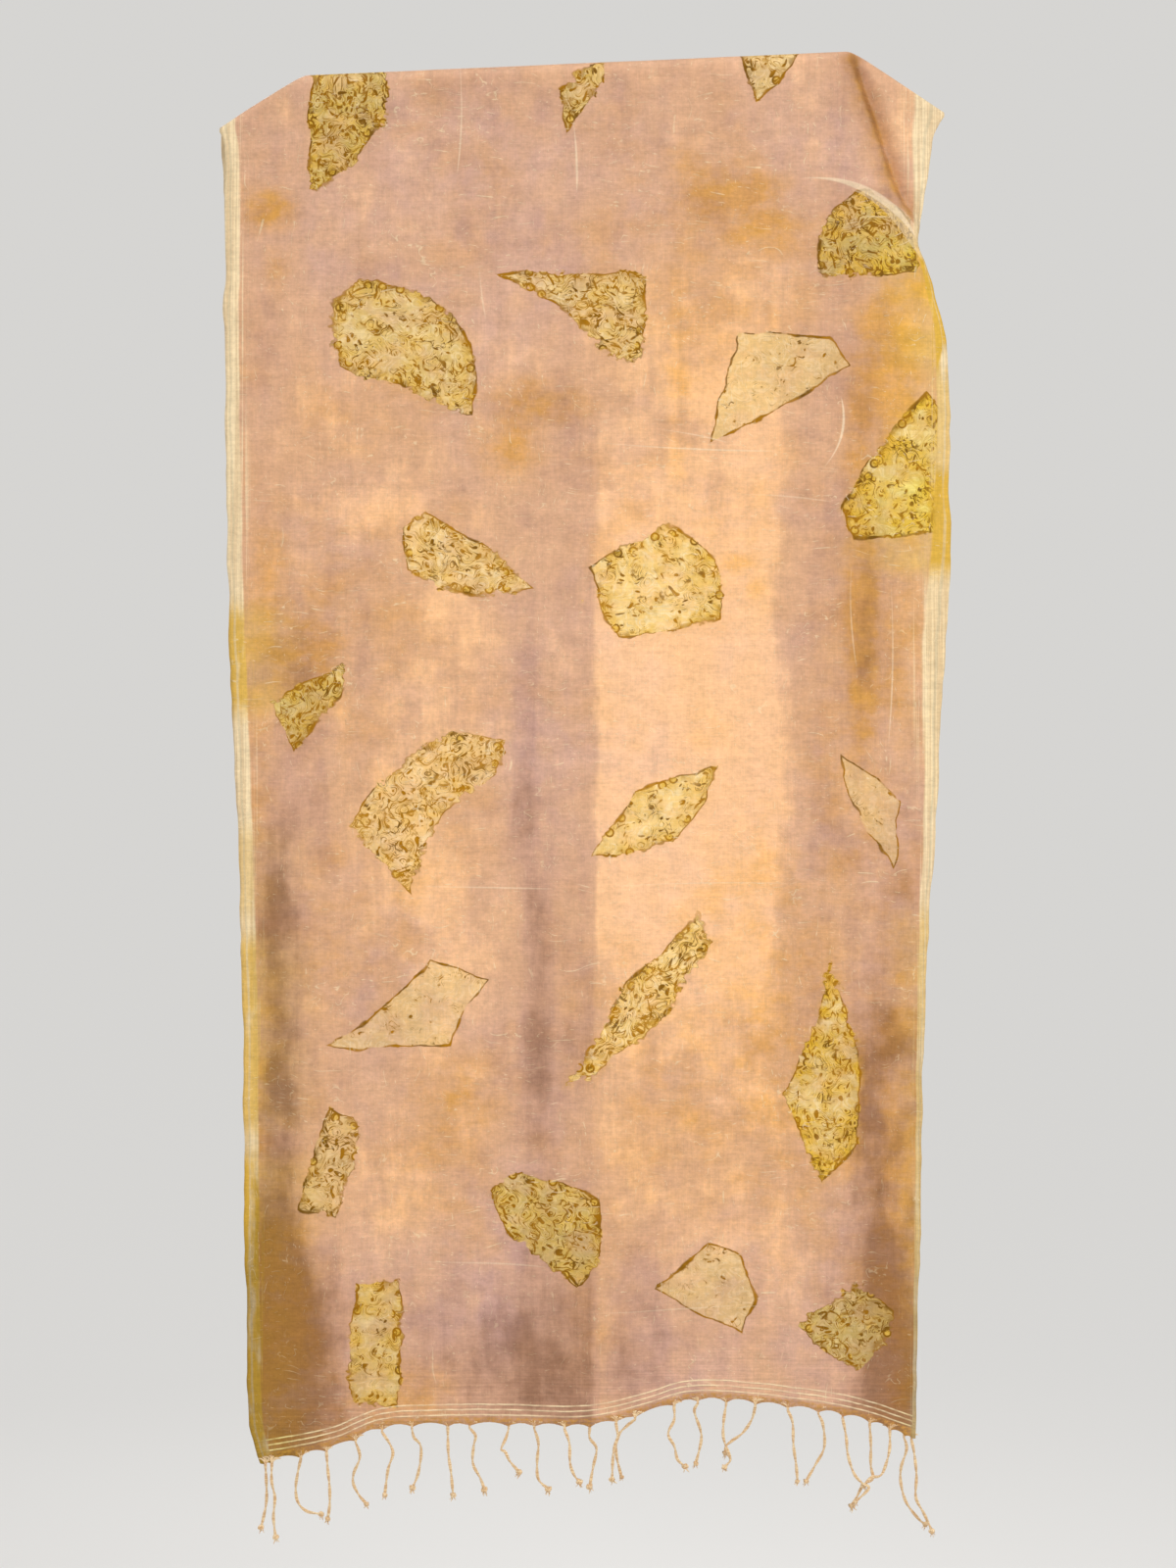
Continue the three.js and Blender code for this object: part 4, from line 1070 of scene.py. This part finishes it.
def silk_material(dye, cloth):
    """Plain weave silk: plant dyed ground with painted light and shade in its bands, prints, cream selvedges,
    hem lines and slubs.
    """
    w = Weaver("printed_silk")
    stored = w.attribute("cloth_place", "Vector")
    place = w.vector("MULTIPLY", stored, (1, 1, 0))
    hem = w.parts(stored)[2]
    stain_and_crease_shade, tone_light_and_shade, run = w.parts(w.attribute("cloth_dye_and_shade", "Vector"))[:3]
    edge = w.attribute("selvedge_in")
    wavy = w.vector("ADD", place, w.drift(place, (40, 34, 20, 1), 22.0))
    # Ground: pink with mauve and peach bands, broken by slow clouds and smears.
    clouds = w.swing(place, 70, 90, 1, 4)
    streaks = w.swing(place, 46, 1.6, 2, 3)
    warps = w.swing(place, 1.8, 70, 4, 3)
    mottle = w.swing(place, 22, 30, 3, 5, 0.58)
    # Ground: pink with mauve and peach bands, broken by slow clouds and smears; the darker mauve and umber
    # and the lighter peach are partly painted shade and painted light.
    smears = w.swing(place, 7, 60, 5, 4, 0.6)
    level = w.fit(smears, 0.7, w.fit(mottle, 2.3, w.fit(clouds, 2.0, tone_light_and_shade)))
    ground = w.mix(w.ramp(level, 0.05, -0.9), dye.ground, dye.mauve)
    ground = w.mix(w.ramp(level, -0.7, -2.0), ground, dye.umber)
    ground = w.mix(w.ramp(level, 0.0, 1.1), ground, dye.peach)
    # Rosier clouds, where the dye bath left more pink.
    rosy = w.fit(w.spots(place, (60, 80, 39, 4), 0.42, 0.62), 0.4, w.attribute("rose_dye"))
    rosy = w.times(rosy, w.fit(w.spots(place, (24, 30, 40, 4), 0.36, 0.62), 0.6, 0.5))
    ground = w.mix(rosy, ground, w.vector("MULTIPLY", ground, ROSY_TINT))
    # Tannin stains, soft at their edges, with a few golden spots; the same tan also tints the crease's
    # painted shade.
    spread = w.spots(place, (30, 22, 6, 4, 0.55), 0.3, 0.7)
    feather = w.spots(place, (9, 7, 11, 3, 0.6), 0.28, 0.7)
    tan = w.times(stain_and_crease_shade, w.fit(spread, 0.9, 0.5), w.fit(feather, 0.5, 0.7))
    tan = w.fit(w.times(w.ramp(clouds, 0.02, -0.16), spread), 0.32, tan)
    ground = w.mix(tan, ground, dye.tan, "MULTIPLY")
    golden = w.times(w.ramp(stain_and_crease_shade, 0.5, 1.2), w.spots(place, (18, 14, 7, 4), 0.4, 0.66))
    ground = w.mix(w.times(golden, w.ramp(level, -2.2, -0.6), 0.5), ground, GOLDEN_SPOT)
    colour = add_prints(w, place, ground, level, dye, cloth.outline)
    # Hem: tan and speckled below three raised cream weft lines.
    low = w.times(w.ramp(hem, 9.0, 7.0), w.fit(w.spots(place, (3, 2, 9, 3), 0.35, 0.65), 0.7, 0.15))
    colour = w.mix(low, colour, HEM_TAN)
    ridges = w.times(w.swing(place, 60, 1.5, 10), w.ramp(hem, 62.0, 24.0))
    colour = w.scale(colour, w.fit(ridges, 0.5, 1.0))
    waver = w.fit(w.swing(place, 18, 30, 8), 1.2, hem)
    lines = w.most(*(w.ramp(w.away(waver, height), 0.78, 0.25) for height in HEM_LINES))
    lines = w.times(lines, w.fit(w.spots(place, (9, 2, 12), 0.3, 0.6), 0.55, 0.3))
    colour = w.mix(lines, colour, dye.cream)
    # Dye that ran into the selvedges also yellows the cloth beside them.
    soaked = w.times(run, w.ramp(edge, 85.0, 12.0), w.fit(spread, 0.5, 0.55))
    colour = w.mix(soaked, colour, w.vector("MULTIPLY", colour, SOAKED_TINT))
    # Selvedges: cream, with lengthwise lines and runs of dye.
    rib = w.noise(place, 1.5, 160, 16, 2, 0.7)
    band = cloth.selvedge / MM
    wander = w.fit(w.swing(place, 400, 60, 18, 3), 5.0, edge)
    bare = w.times(w.ramp(wander, band + 1.2, band - 1.2), 0.92)
    bare = w.most(bare, w.times(w.ramp(wander, band + 11, band), w.ramp(rib, 0.5, 0.64), 0.7))
    cool = w.ramp(w.away(wander, 5.2), 1.5, 0.5)
    cream = w.mix(w.times(w.ramp(rib, 0.56, 0.42), 0.4), dye.cream, SELVEDGE_LINE)
    cream = w.mix(w.times(cool, 0.38), cream, COOL_LINE)
    dyed = w.times(run, w.spots(place, (9, 34, 19, 3), 0.2, 0.5), w.fit(cool, -0.5, 1.0))
    cream = w.mix(dyed, cream, DYED_SELVEDGE)
    # Painted shade: the selvedges darken where the ground's tone is darker.
    cream = w.scale(cream, w.fit(w.ramp(tone_light_and_shade, -0.2, -1.8), -0.42, 1.0))
    colour = w.mix(bare, colour, cream)
    # Slubs: short pale threads both ways, curly scratches and small clusters of flecks.
    weft = w.spots(wavy, (13, 1.4, 22, 1), 0.71, 0.78)
    warp = w.spots(wavy, (1.3, 13, 24, 1), 0.73, 0.8)
    curl = w.ramp(w.away(w.noise(place, 12, 9, 23, 1.5), 0.5), 0.022, 0.006)
    scratch = w.times(
        curl, w.spots(place, (6, 6, 25, 1), 0.53, 0.63), w.spots(place, (46, 40, 26), 0.5, 0.66))
    long_weft = w.times(w.spots(wavy, (40, 1.5, 27, 1), 0.66, 0.76), w.ramp(clouds, 0.02, -0.06))
    long_warp = w.times(w.spots(wavy, (1.5, 40, 37, 1), 0.67, 0.77), w.ramp(clouds, -0.02, 0.06))
    slubs = w.most(weft, warp, scratch, long_weft, long_warp)
    # Slubs show fainter in the painted shade.
    colour = w.mix(w.times(slubs, w.fit(w.ramp(tone_light_and_shade, -0.3, -1.6), -0.25, 0.46)), colour, dye.cream)
    for line in CREASES:
        colour = w.mix(pale_crease(w, place, *line), colour, PALE_CREASE)
    # The crumpled weave catches light unevenly.
    crisp = w.noise(place, 3.4, 2.4, 29, 3, 0.62)
    soft = w.noise(place, 16, 9, 30, 3)
    uneven = w.fit(w.plus(w.times(soft, 0.66), w.times(crisp, 0.8)), 0.5, 0.635)
    woven = w.plus(w.times(streaks, 0.12), w.times(warps, 0.08), w.times(smears, 0.14))
    threads = w.plus(w.noise(place, 0.5, 12, 34, 1), w.noise(place, 12, 0.5, 35, 1))
    uneven = w.plus(w.fit(w.minus(threads, 1.0), 0.16, uneven), woven)
    w.surface({
        "Base Color": w.scale(colour, uneven), "Roughness": w.fit(w.noise(place, 9, 9, 28), 0.2, 0.42),
        "Specular IOR Level": 0.14, "Sheen Weight": 0.05, "Sheen Roughness": 0.4,
    })
    # Relief: slubs, hem lines and ribs stand up, and the weave is a little crisp.
    height = w.fit(slubs, 0.35, w.plus(w.times(crisp, 0.45), w.times(threads, 0.12)))
    height = w.fit(lines, 0.8, w.fit(soft, 1.1, height))
    w.bump(w.fit(w.times(rib, bare), 0.5, height), 0.0011, 0.55)
    return w.material


def yarn_material(fringe, dye):
    """Silk yarn: cream to tan along a strand, with fine fibres."""
    w = Weaver("fringe_yarn")
    place = w.body_place()
    fibre = w.noise(place, 0.6, 0.9, 4, 3)
    colour = w.mix(w.spots(place, (24, 24, 2, 3), 0.32, 0.68), fringe.yarn, dye.cream)
    colour = w.mix(w.times(w.ramp(fibre, 0.58, 0.36), 0.5), colour, YARN_FIBRE)
    w.surface({"Base Color": colour, "Roughness": 0.6, "Sheen Weight": 0.2})
    w.bump(fibre, 0.0003, 0.6)
    return w.material


def wood_material(bar):
    """Turned wood with grain along the bar."""
    w = Weaver("bar_wood")
    place = w.body_place()
    along, across, up = w.parts(place)[:3]
    grain = w.noise(w.combine(along, w.plus(across, w.times(up, 0.9)), up), 90, 1.6, 3, 5, 0.62)
    streaks = w.times(w.spots(place, (160, 9, 5), 0.4, 0.7), 0.35)
    dark = w.plus(w.times(w.ramp(grain, 0.42, 0.7), 0.75), streaks)
    w.surface({"Base Color": w.mix(dark, bar.wood, bar.grain), "Roughness": w.fit(grain, 0.22, 0.38)})
    w.bump(grain, 0.0004, 0.4)
    return w.material


def link(mesh, name):
    piece = bpy.data.objects.new(name, mesh)
    bpy.context.scene.collection.objects.link(piece)
    return piece


def add_piece(name, mesh, node):
    """Puts a finished mesh in the scene, in place of a node of the frame."""
    piece = link(mesh, name)
    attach(piece, "root")
    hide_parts(node)


def tube(points, radii, sides, closed=False):
    """Vertices and faces of a thin tube along points, in mm."""
    points = [Vector(p) for p in points]
    count = len(points)
    vertices, faces = [], []
    for i, point in enumerate(points):
        before = points[i - 1] if i or closed else points[i]
        after = points[(i + 1) % count] if i < count - 1 or closed else points[i]
        ahead = (after - before).normalized()
        side = ahead.cross(Vector((0.31, 0.95, 0.11))).normalized()
        front = ahead.cross(side)
        for s in range(sides):
            turn = 2 * math.pi * s / sides
            vertices.append(point + (side * math.cos(turn) + front * math.sin(turn)) * radii[i])
    for i in range(count if closed else count - 1):
        for s in range(sides):
            a, b = i * sides + s, i * sides + (s + 1) % sides
            c, d = ((i + 1) % count) * sides + (s + 1) % sides, ((i + 1) % count) * sides + s
            faces.append((a, d, c, b))
    if not closed:
        faces.append(tuple(range(sides)))
        faces.append(tuple((count - 1) * sides + s for s in range(sides - 1, -1, -1)))
    return vertices, faces


def solid_mesh(name, work):
    """A smooth mesh from a bmesh, with its faces turned outwards."""
    bmesh.ops.recalc_face_normals(work, faces=work.faces)
    mesh = bpy.data.meshes.new(name)
    work.to_mesh(mesh)
    work.free()
    mesh.shade_smooth()
    return mesh


def tubes_mesh(name, tubes):
    """One mesh in metres from several tubes in mm."""
    work = bmesh.new()
    for places, faces in tubes:
        corners = [work.verts.new(place * MM) for place in places]
        for face in faces:
            work.faces.new([corners[i] for i in face])
    return solid_mesh(name, work)


def knot_mesh(radius):
    """An overhand knot about 0, with the yarn's cut ends fraying out below it."""
    random = np.random.default_rng(5)
    ring = []
    for i in range(30):
        t = 2 * math.pi * i / 30
        ring.append((
            (math.sin(t) + 2 * math.sin(2 * t)) * radius * 0.24,
            (math.cos(t) - 2 * math.cos(2 * t)) * radius * 0.24,
            -math.sin(3 * t) * radius * 0.42,
        ))
    tubes = [tube(ring, [radius * 0.36] * 30, 6, closed=True)]
    for _ in range(6):
        lean, turn = random.uniform(0.15, 0.75), random.uniform(0, 2 * math.pi)
        length = random.uniform(1.1, 2.0) * radius
        ends = []
        for share in (0, 0.4, 0.75, 1):
            out = lean * length * share ** 1.4
            ends.append((out * math.cos(turn), out * math.sin(turn), -length * share))
        tubes.append(tube(ends, [0.42, 0.36, 0.3, 0.2], 4))
    return tubes_mesh("tip_knot", tubes)


def gather_mesh():
    """Warp ends that leave the hem side by side and draw together into a strand's root at 0."""
    random = np.random.default_rng(9)
    tubes = []
    for start in (-5.4, -4.1, -2.7, -1.3, 0, 1.4, 2.8, 4.2, 5.5):
        start += random.uniform(-0.5, 0.5)
        lift = 5.2 - 0.2 * abs(start) + random.uniform(-0.4, 0.4)
        path = []
        for share in (0, 0.3, 0.6, 0.85, 1):
            drawn = 1 - (1 - share) ** 1.5
            height = lift * (1 - share ** 1.7) - 2.2 * share ** 6
            path.append((start * (1 - drawn), random.uniform(-0.2, 0.2), height))
        tubes.append(tube(path, [0.4, 0.38, 0.4, 0.45, 0.5], 5))
    return tubes_mesh("warp_gather", tubes)


def fringe_tree(material):
    """Geometry Nodes: twists two plies along each curve, knots its tip and gathers warp ends at its root."""
    tree = bpy.data.node_groups.new("Knotted Fringe", "GeometryNodeTree")
    for name, kind, way in (
        ("Geometry", "Geometry", "INPUT"), ("Strand Radius", "Float", "INPUT"),
        ("Twists per Metre", "Float", "INPUT"), ("Knot", "Object", "INPUT"), ("Gather", "Object", "INPUT"),
        ("Seed", "Int", "INPUT"), ("Geometry", "Geometry", "OUTPUT"),
    ):
        tree.interface.new_socket(name, in_out=way, socket_type="NodeSocket" + kind)

    def add(kind, inputs, **settings):
        """The outputs of a new node, whose inputs are set or linked by name or number."""
        node = tree.nodes.new(kind)
        for name, value in settings.items():
            setattr(node, name, value)
        for name, value in inputs.items():
            if isinstance(value, bpy.types.NodeSocket):
                tree.links.new(value, node.inputs[name])
            else:
                node.inputs[name].default_value = value
        return node.outputs

    def math_node(operation, first, second):
        return add("ShaderNodeMath", {0: first, 1: second}, operation=operation)[0]

    start = add("NodeGroupInput", {})
    smooth = add("GeometryNodeCurveSplineType", {"Curve": start["Geometry"]}, spline_type="CATMULL_ROM")[0]
    even = add("GeometryNodeResampleCurve", {"Curve": smooth, "Length": 0.0012}, mode="LENGTH")[0]
    along = add("GeometryNodeSplineParameter", {})
    turns = math_node("MULTIPLY", along["Length"], start["Twists per Metre"])
    tilted = add("GeometryNodeSetCurveTilt", {"Curve": even, "Tilt": turns})[0]
    thinner = math_node("SUBTRACT", 1.12, math_node("MULTIPLY", along["Factor"], 0.25))
    tapered = add("GeometryNodeSetCurveRadius", {"Curve": tilted, "Radius": thinner})[0]
    # Two plies side by side, which the tilt winds round each other.
    radius = start["Strand Radius"]
    ply_radius = math_node("MULTIPLY", radius, 0.62)
    ply = add("GeometryNodeCurvePrimitiveCircle", {"Resolution": 7, "Radius": ply_radius})["Curve"]
    plies = tree.nodes.new("GeometryNodeJoinGeometry")
    for way in (-1, 1):
        offset = add("ShaderNodeCombineXYZ", {0: math_node("MULTIPLY", radius, 0.48 * way)})[0]
        beside = add("GeometryNodeTransform", {"Geometry": ply, "Translation": offset})[0]
        tree.links.new(beside, plies.inputs[0])
    body = add("GeometryNodeCurveToMesh", {
        "Curve": tapered, "Profile Curve": plies.outputs[0], "Fill Caps": True,
    })[0]
    join = tree.nodes.new("GeometryNodeJoinGeometry")
    tree.links.new(body, join.inputs[0])
    for source, at_root, at_tip, sway in (
        ("Knot", 0, 1, (0.4, 0.4, 3.1)), ("Gather", 1, 0, (0.05, 0.1, 0.12)),
    ):
        seed = start["Seed"]
        low = tuple(-angle for angle in sway)
        spin = add("FunctionNodeRandomValue", {0: low, 1: sway, "Seed": seed}, data_type="FLOAT_VECTOR")[0]
        grow = add("FunctionNodeRandomValue", {2: 0.8, 3: 1.15, "Seed": seed}, data_type="FLOAT")[1]
        chosen = add("GeometryNodeCurveEndpointSelection", {"Start Size": at_root, "End Size": at_tip})[0]
        placed = add("GeometryNodeInstanceOnPoints", {
            "Points": even, "Scale": grow, "Rotation": add("FunctionNodeEulerToRotation", {0: spin})[0],
            "Instance": add("GeometryNodeObjectInfo", {"Object": start[source]})["Geometry"],
            "Selection": chosen,
        })[0]
        tree.links.new(placed, join.inputs[0])
    real = add("GeometryNodeRealizeInstances", {0: join.outputs[0]})[0]
    add("NodeGroupOutput", {0: add("GeometryNodeSetMaterial", {"Geometry": real, "Material": material})[0]})
    return tree


def strand_curves(name, half, strands):
    """One curve object whose splines run from each root to its tip."""
    roots = hem_places(half, np.array([row[0] for row in strands]))[1]
    curve = bpy.data.curves.new(name, "CURVE")
    curve.dimensions = "3D"
    for i, ((_, points), root) in enumerate(zip(strands, roots)):
        way = half["side"] * (1 if i % 2 else -1)
        longest = points[-1][1]
        places = [(root[0], root[1], root[2] + 1.2), tuple(root)]
        for across, down in points:
            depth = way * 3.4 * math.sin(down / longest * 2.2)
            places.append((root[0] + across, root[1] + depth, root[2] - down))
        spline = curve.splines.new("POLY")
        spline.points.add(len(places) - 1)
        for point, place in zip(spline.points, places):
            point.co = (*(c * MM for c in place), 1)
    return link(curve, name)


def set_inputs(modifier, values):
    """Sets a Geometry Nodes modifier's inputs by their sockets' identifiers."""
    sockets = modifier.node_group.interface.items_tree
    names = {item.name: item.identifier for item in sockets if item.in_out == "INPUT"}
    for name, value in values.items():
        modifier[names[name]] = value


class STOLE_OT_cloth(bpy.types.Operator):
    """Drapes the printed silk over the bar."""
    bl_idname = "stole.cloth"
    bl_label = "Stole Cloth"

    def execute(self, context):
        settings, dye = context.scene.stole_cloth, context.scene.stole_dye
        along, points, flats, hems = cloth_grid()
        points = crinkled(points, along, flats, settings)
        mesh = closed_sheet("silk_stole", points, settings.thickness / MM)
        unwrap(mesh, along, points)
        paint_prints(mesh, points[..., 0], flats)
        paint_dyes_and_shade(mesh, points[..., 0], along, flats, hems)
        mesh.materials.append(silk_material(dye, settings))
        add_piece("silk_stole", mesh, "stole")
        return {"FINISHED"}


class STOLE_OT_fringes(bpy.types.Operator):
    """Twists and knots the strands of both fringes."""
    bl_idname = "stole.fringes"
    bl_label = "Stole Fringes"

    def execute(self, context):
        settings = context.scene.stole_fringe
        tree = fringe_tree(yarn_material(settings, context.scene.stole_dye))
        knot = link(knot_mesh(settings.knot / MM), "tip_knot")
        gather = link(gather_mesh(), "warp_gather")
        for name, half, strands, node in (
            ("front_fringe", FRONT, FRONT_STRANDS, "fringe_front"),
            ("back_fringe", BACK, back_strands(), "fringe_back"),
        ):
            source = strand_curves(name + "_curves", half, strands)
            modifier = source.modifiers.new("Knotted Fringe", "NODES")
            modifier.node_group = tree
            set_inputs(modifier, {
                "Strand Radius": settings.strand, "Twists per Metre": settings.twists,
                "Knot": knot, "Gather": gather, "Seed": settings.seed,
            })
            context.view_layer.update()
            mesh = bpy.data.meshes.new_from_object(source.evaluated_get(context.evaluated_depsgraph_get()))
            mesh.name = name
            if not mesh.polygons:
                raise RuntimeError(f"{name} came out empty")
            mesh.shade_smooth()
            bpy.data.objects.remove(source)
            add_piece(name, mesh, node)
        for shape in (knot, gather):
            bpy.data.objects.remove(shape)
        return {"FINISHED"}


class STOLE_OT_bar(bpy.types.Operator):
    """Turns the wooden bar, with rounded ends and a flat underneath."""
    bl_idname = "stole.bar"
    bl_label = "Stole Bar"

    def execute(self, context):
        settings = context.scene.stole_bar
        rounding, end, sides = settings.rounding / MM, BAR_LENGTH / 2, 48
        profile = [(0, -end)]
        for i in range(6):
            turn = math.pi / 2 * i / 5
            inward, onward = rounding * (1 - math.sin(turn)), rounding * (1 - math.cos(turn))
            profile.append((BAR_RADIUS - inward, onward - end))
        straight = [(BAR_RADIUS, lerp(-end + rounding, end - rounding, i / 40)) for i in range(1, 40)]
        profile += straight + [(radius, -along) for radius, along in reversed(profile)]
        work = bmesh.new()
        rings = []
        for radius, along in profile:
            ring = []
            for s in range(sides if radius > 0 else 1):
                turn = 2 * math.pi * s / sides
                up = max(radius * math.cos(turn), -BAR_FLAT_TO_AXIS) + BAR_FLAT_TO_AXIS
                x = along * math.cos(BAR_TILT) - up * math.sin(BAR_TILT)
                z = along * math.sin(BAR_TILT) + up * math.cos(BAR_TILT)
                ring.append(work.verts.new((x * MM, radius * math.sin(turn) * MM, z * MM)))
            rings.append(ring)
        for first, second in zip(rings, rings[1:]):
            for s in range(sides):
                corners = [first[s % len(first)], first[(s + 1) % len(first)]]
                corners += [second[(s + 1) % len(second)], second[s % len(second)]]
                work.faces.new(list(dict.fromkeys(corners)))
        mesh = solid_mesh("wooden_bar", work)
        mesh.materials.append(wood_material(settings))
        add_piece("wooden_bar", mesh, "bar")
        return {"FINISHED"}


class STOLE_OT_stage(bpy.types.Operator):
    """Sets out the floor, the lights and the camera."""
    bl_idname = "stole.stage"
    bl_label = "Stole Stage"

    def execute(self, context):
        settings = context.scene.stole_stage
        reach = 30
        floor = bpy.data.meshes.new("floor")
        corners = [(-reach, -reach), (reach, -reach), (reach, reach), (-reach, reach)]
        floor.from_pydata([(x, y, -settings.floor_drop) for x, y in corners], [], [(0, 1, 2, 3)])
        paper = Weaver("pale_floor")
        paper.surface({"Base Color": settings.floor_colour, "Roughness": 0.9, "Specular IOR Level": 0})
        floor.materials.append(paper.material)
        link(floor, "floor")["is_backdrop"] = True
        self.light("key_light", (1.3, -2.3, 0.3), (0, 0, -0.5), 1.2, settings.key)
        self.light("fill_light", (-2.2, -2.0, -0.1), (0, 0, -0.6), 2.0, settings.fill)
        self.light("back_light", (-0.9, 2.6, 0.6), (0, 0, -0.4), 1.8, settings.key)
        above = bpy.data.lights.new("overhead_light", "SUN")
        above.energy = settings.overhead
        above.angle = math.radians(50)
        link(above, "overhead_light").rotation_euler = (OVERHEAD_LEAN, 0, 0)
        self.room(context.scene, settings)
        context.scene.view_settings.view_transform = "Standard"
        lens = bpy.data.cameras.new("photo_angle")
        lens.sensor_fit = "VERTICAL"
        lens.sensor_height = 24
        lens.lens = lens.sensor_height * VIEW_DISTANCE / VIEW_HEIGHT
        camera = link(lens, "photo_angle")
        camera.location = (0.00725, -VIEW_DISTANCE - HANG_GAP * MM, -0.5143)
        camera.rotation_euler = (math.pi / 2, 0, 0)
        context.scene.camera = camera
        return {"FINISHED"}

    @staticmethod
    def room(scene, settings):
        """Even light from all round; the camera sees it as bright as the far floor."""
        world = bpy.data.worlds.new("soft_room")
        world.use_nodes = True
        tree = world.node_tree
        light = tree.nodes["Background"]
        seen = tree.nodes.new("ShaderNodeBackground")
        far_floor = settings.room + settings.overhead * math.cos(OVERHEAD_LEAN) / math.pi
        light.inputs["Strength"].default_value = settings.room
        light.inputs["Color"].default_value = (1, 1, 1, 1)
        seen.inputs["Color"].default_value = (*(share * far_floor for share in settings.floor_colour), 1)
        choose = tree.nodes.new("ShaderNodeMixShader")
        ray = tree.nodes.new("ShaderNodeLightPath").outputs["Is Camera Ray"]
        for source, socket in zip((ray, light.outputs[0], seen.outputs[0]), choose.inputs):
            tree.links.new(source, socket)
        tree.links.new(choose.outputs[0], tree.nodes["World Output"].inputs["Surface"])
        scene.world = world

    @staticmethod
    def light(name, place, aim, size, power):
        lamp = bpy.data.lights.new(name, "AREA")
        lamp.size = size
        lamp.spread = math.radians(75)
        lamp.energy = power
        holder = link(lamp, name)
        holder.location = place
        holder.rotation_euler = (Vector(aim) - Vector(place)).to_track_quat("-Z", "Y").to_euler()


class STOLE_PT_panel(bpy.types.Panel):
    """Settings and pieces of the stole."""
    bl_label = "Stole"
    bl_idname = "STOLE_PT_panel"
    bl_space_type = "VIEW_3D"
    bl_region_type = "UI"
    bl_category = "Stole"

    def draw(self, context):
        for operator, name, kind in PIECES:
            box = self.layout.box()
            box.operator(operator)
            for prop in kind.__annotations__:
                box.prop(getattr(context.scene, name), prop)


# Operators with the settings that each one shows in the panel.
PIECES = (
    ("stole.cloth", "stole_cloth", StoleCloth),
    ("stole.cloth", "stole_dye", StoleDye),
    ("stole.fringes", "stole_fringe", StoleFringe),
    ("stole.bar", "stole_bar", StoleBar),
    ("stole.stage", "stole_stage", StoleStage),
)
CLASSES = (
    StoleCloth, StoleDye, StoleFringe, StoleBar, StoleStage,
    STOLE_OT_cloth, STOLE_OT_fringes, STOLE_OT_bar, STOLE_OT_stage, STOLE_PT_panel,
)


def register():
    for kind in CLASSES:
        bpy.utils.register_class(kind)
    for _, name, kind in PIECES:
        setattr(bpy.types.Scene, name, PointerProperty(type=kind))


def unregister():
    for _, name, _ in PIECES:
        delattr(bpy.types.Scene, name)
    for kind in reversed(CLASSES):
        bpy.utils.unregister_class(kind)


def main():
    register()
    bpy.ops.stole.stage()
    bpy.ops.stole.bar()
    bpy.ops.stole.cloth()
    bpy.ops.stole.fringes()
    {"cad_box": CAD_BOX, "scene_box": [list(corner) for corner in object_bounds()]}


if __name__ == "__main__":
    main()
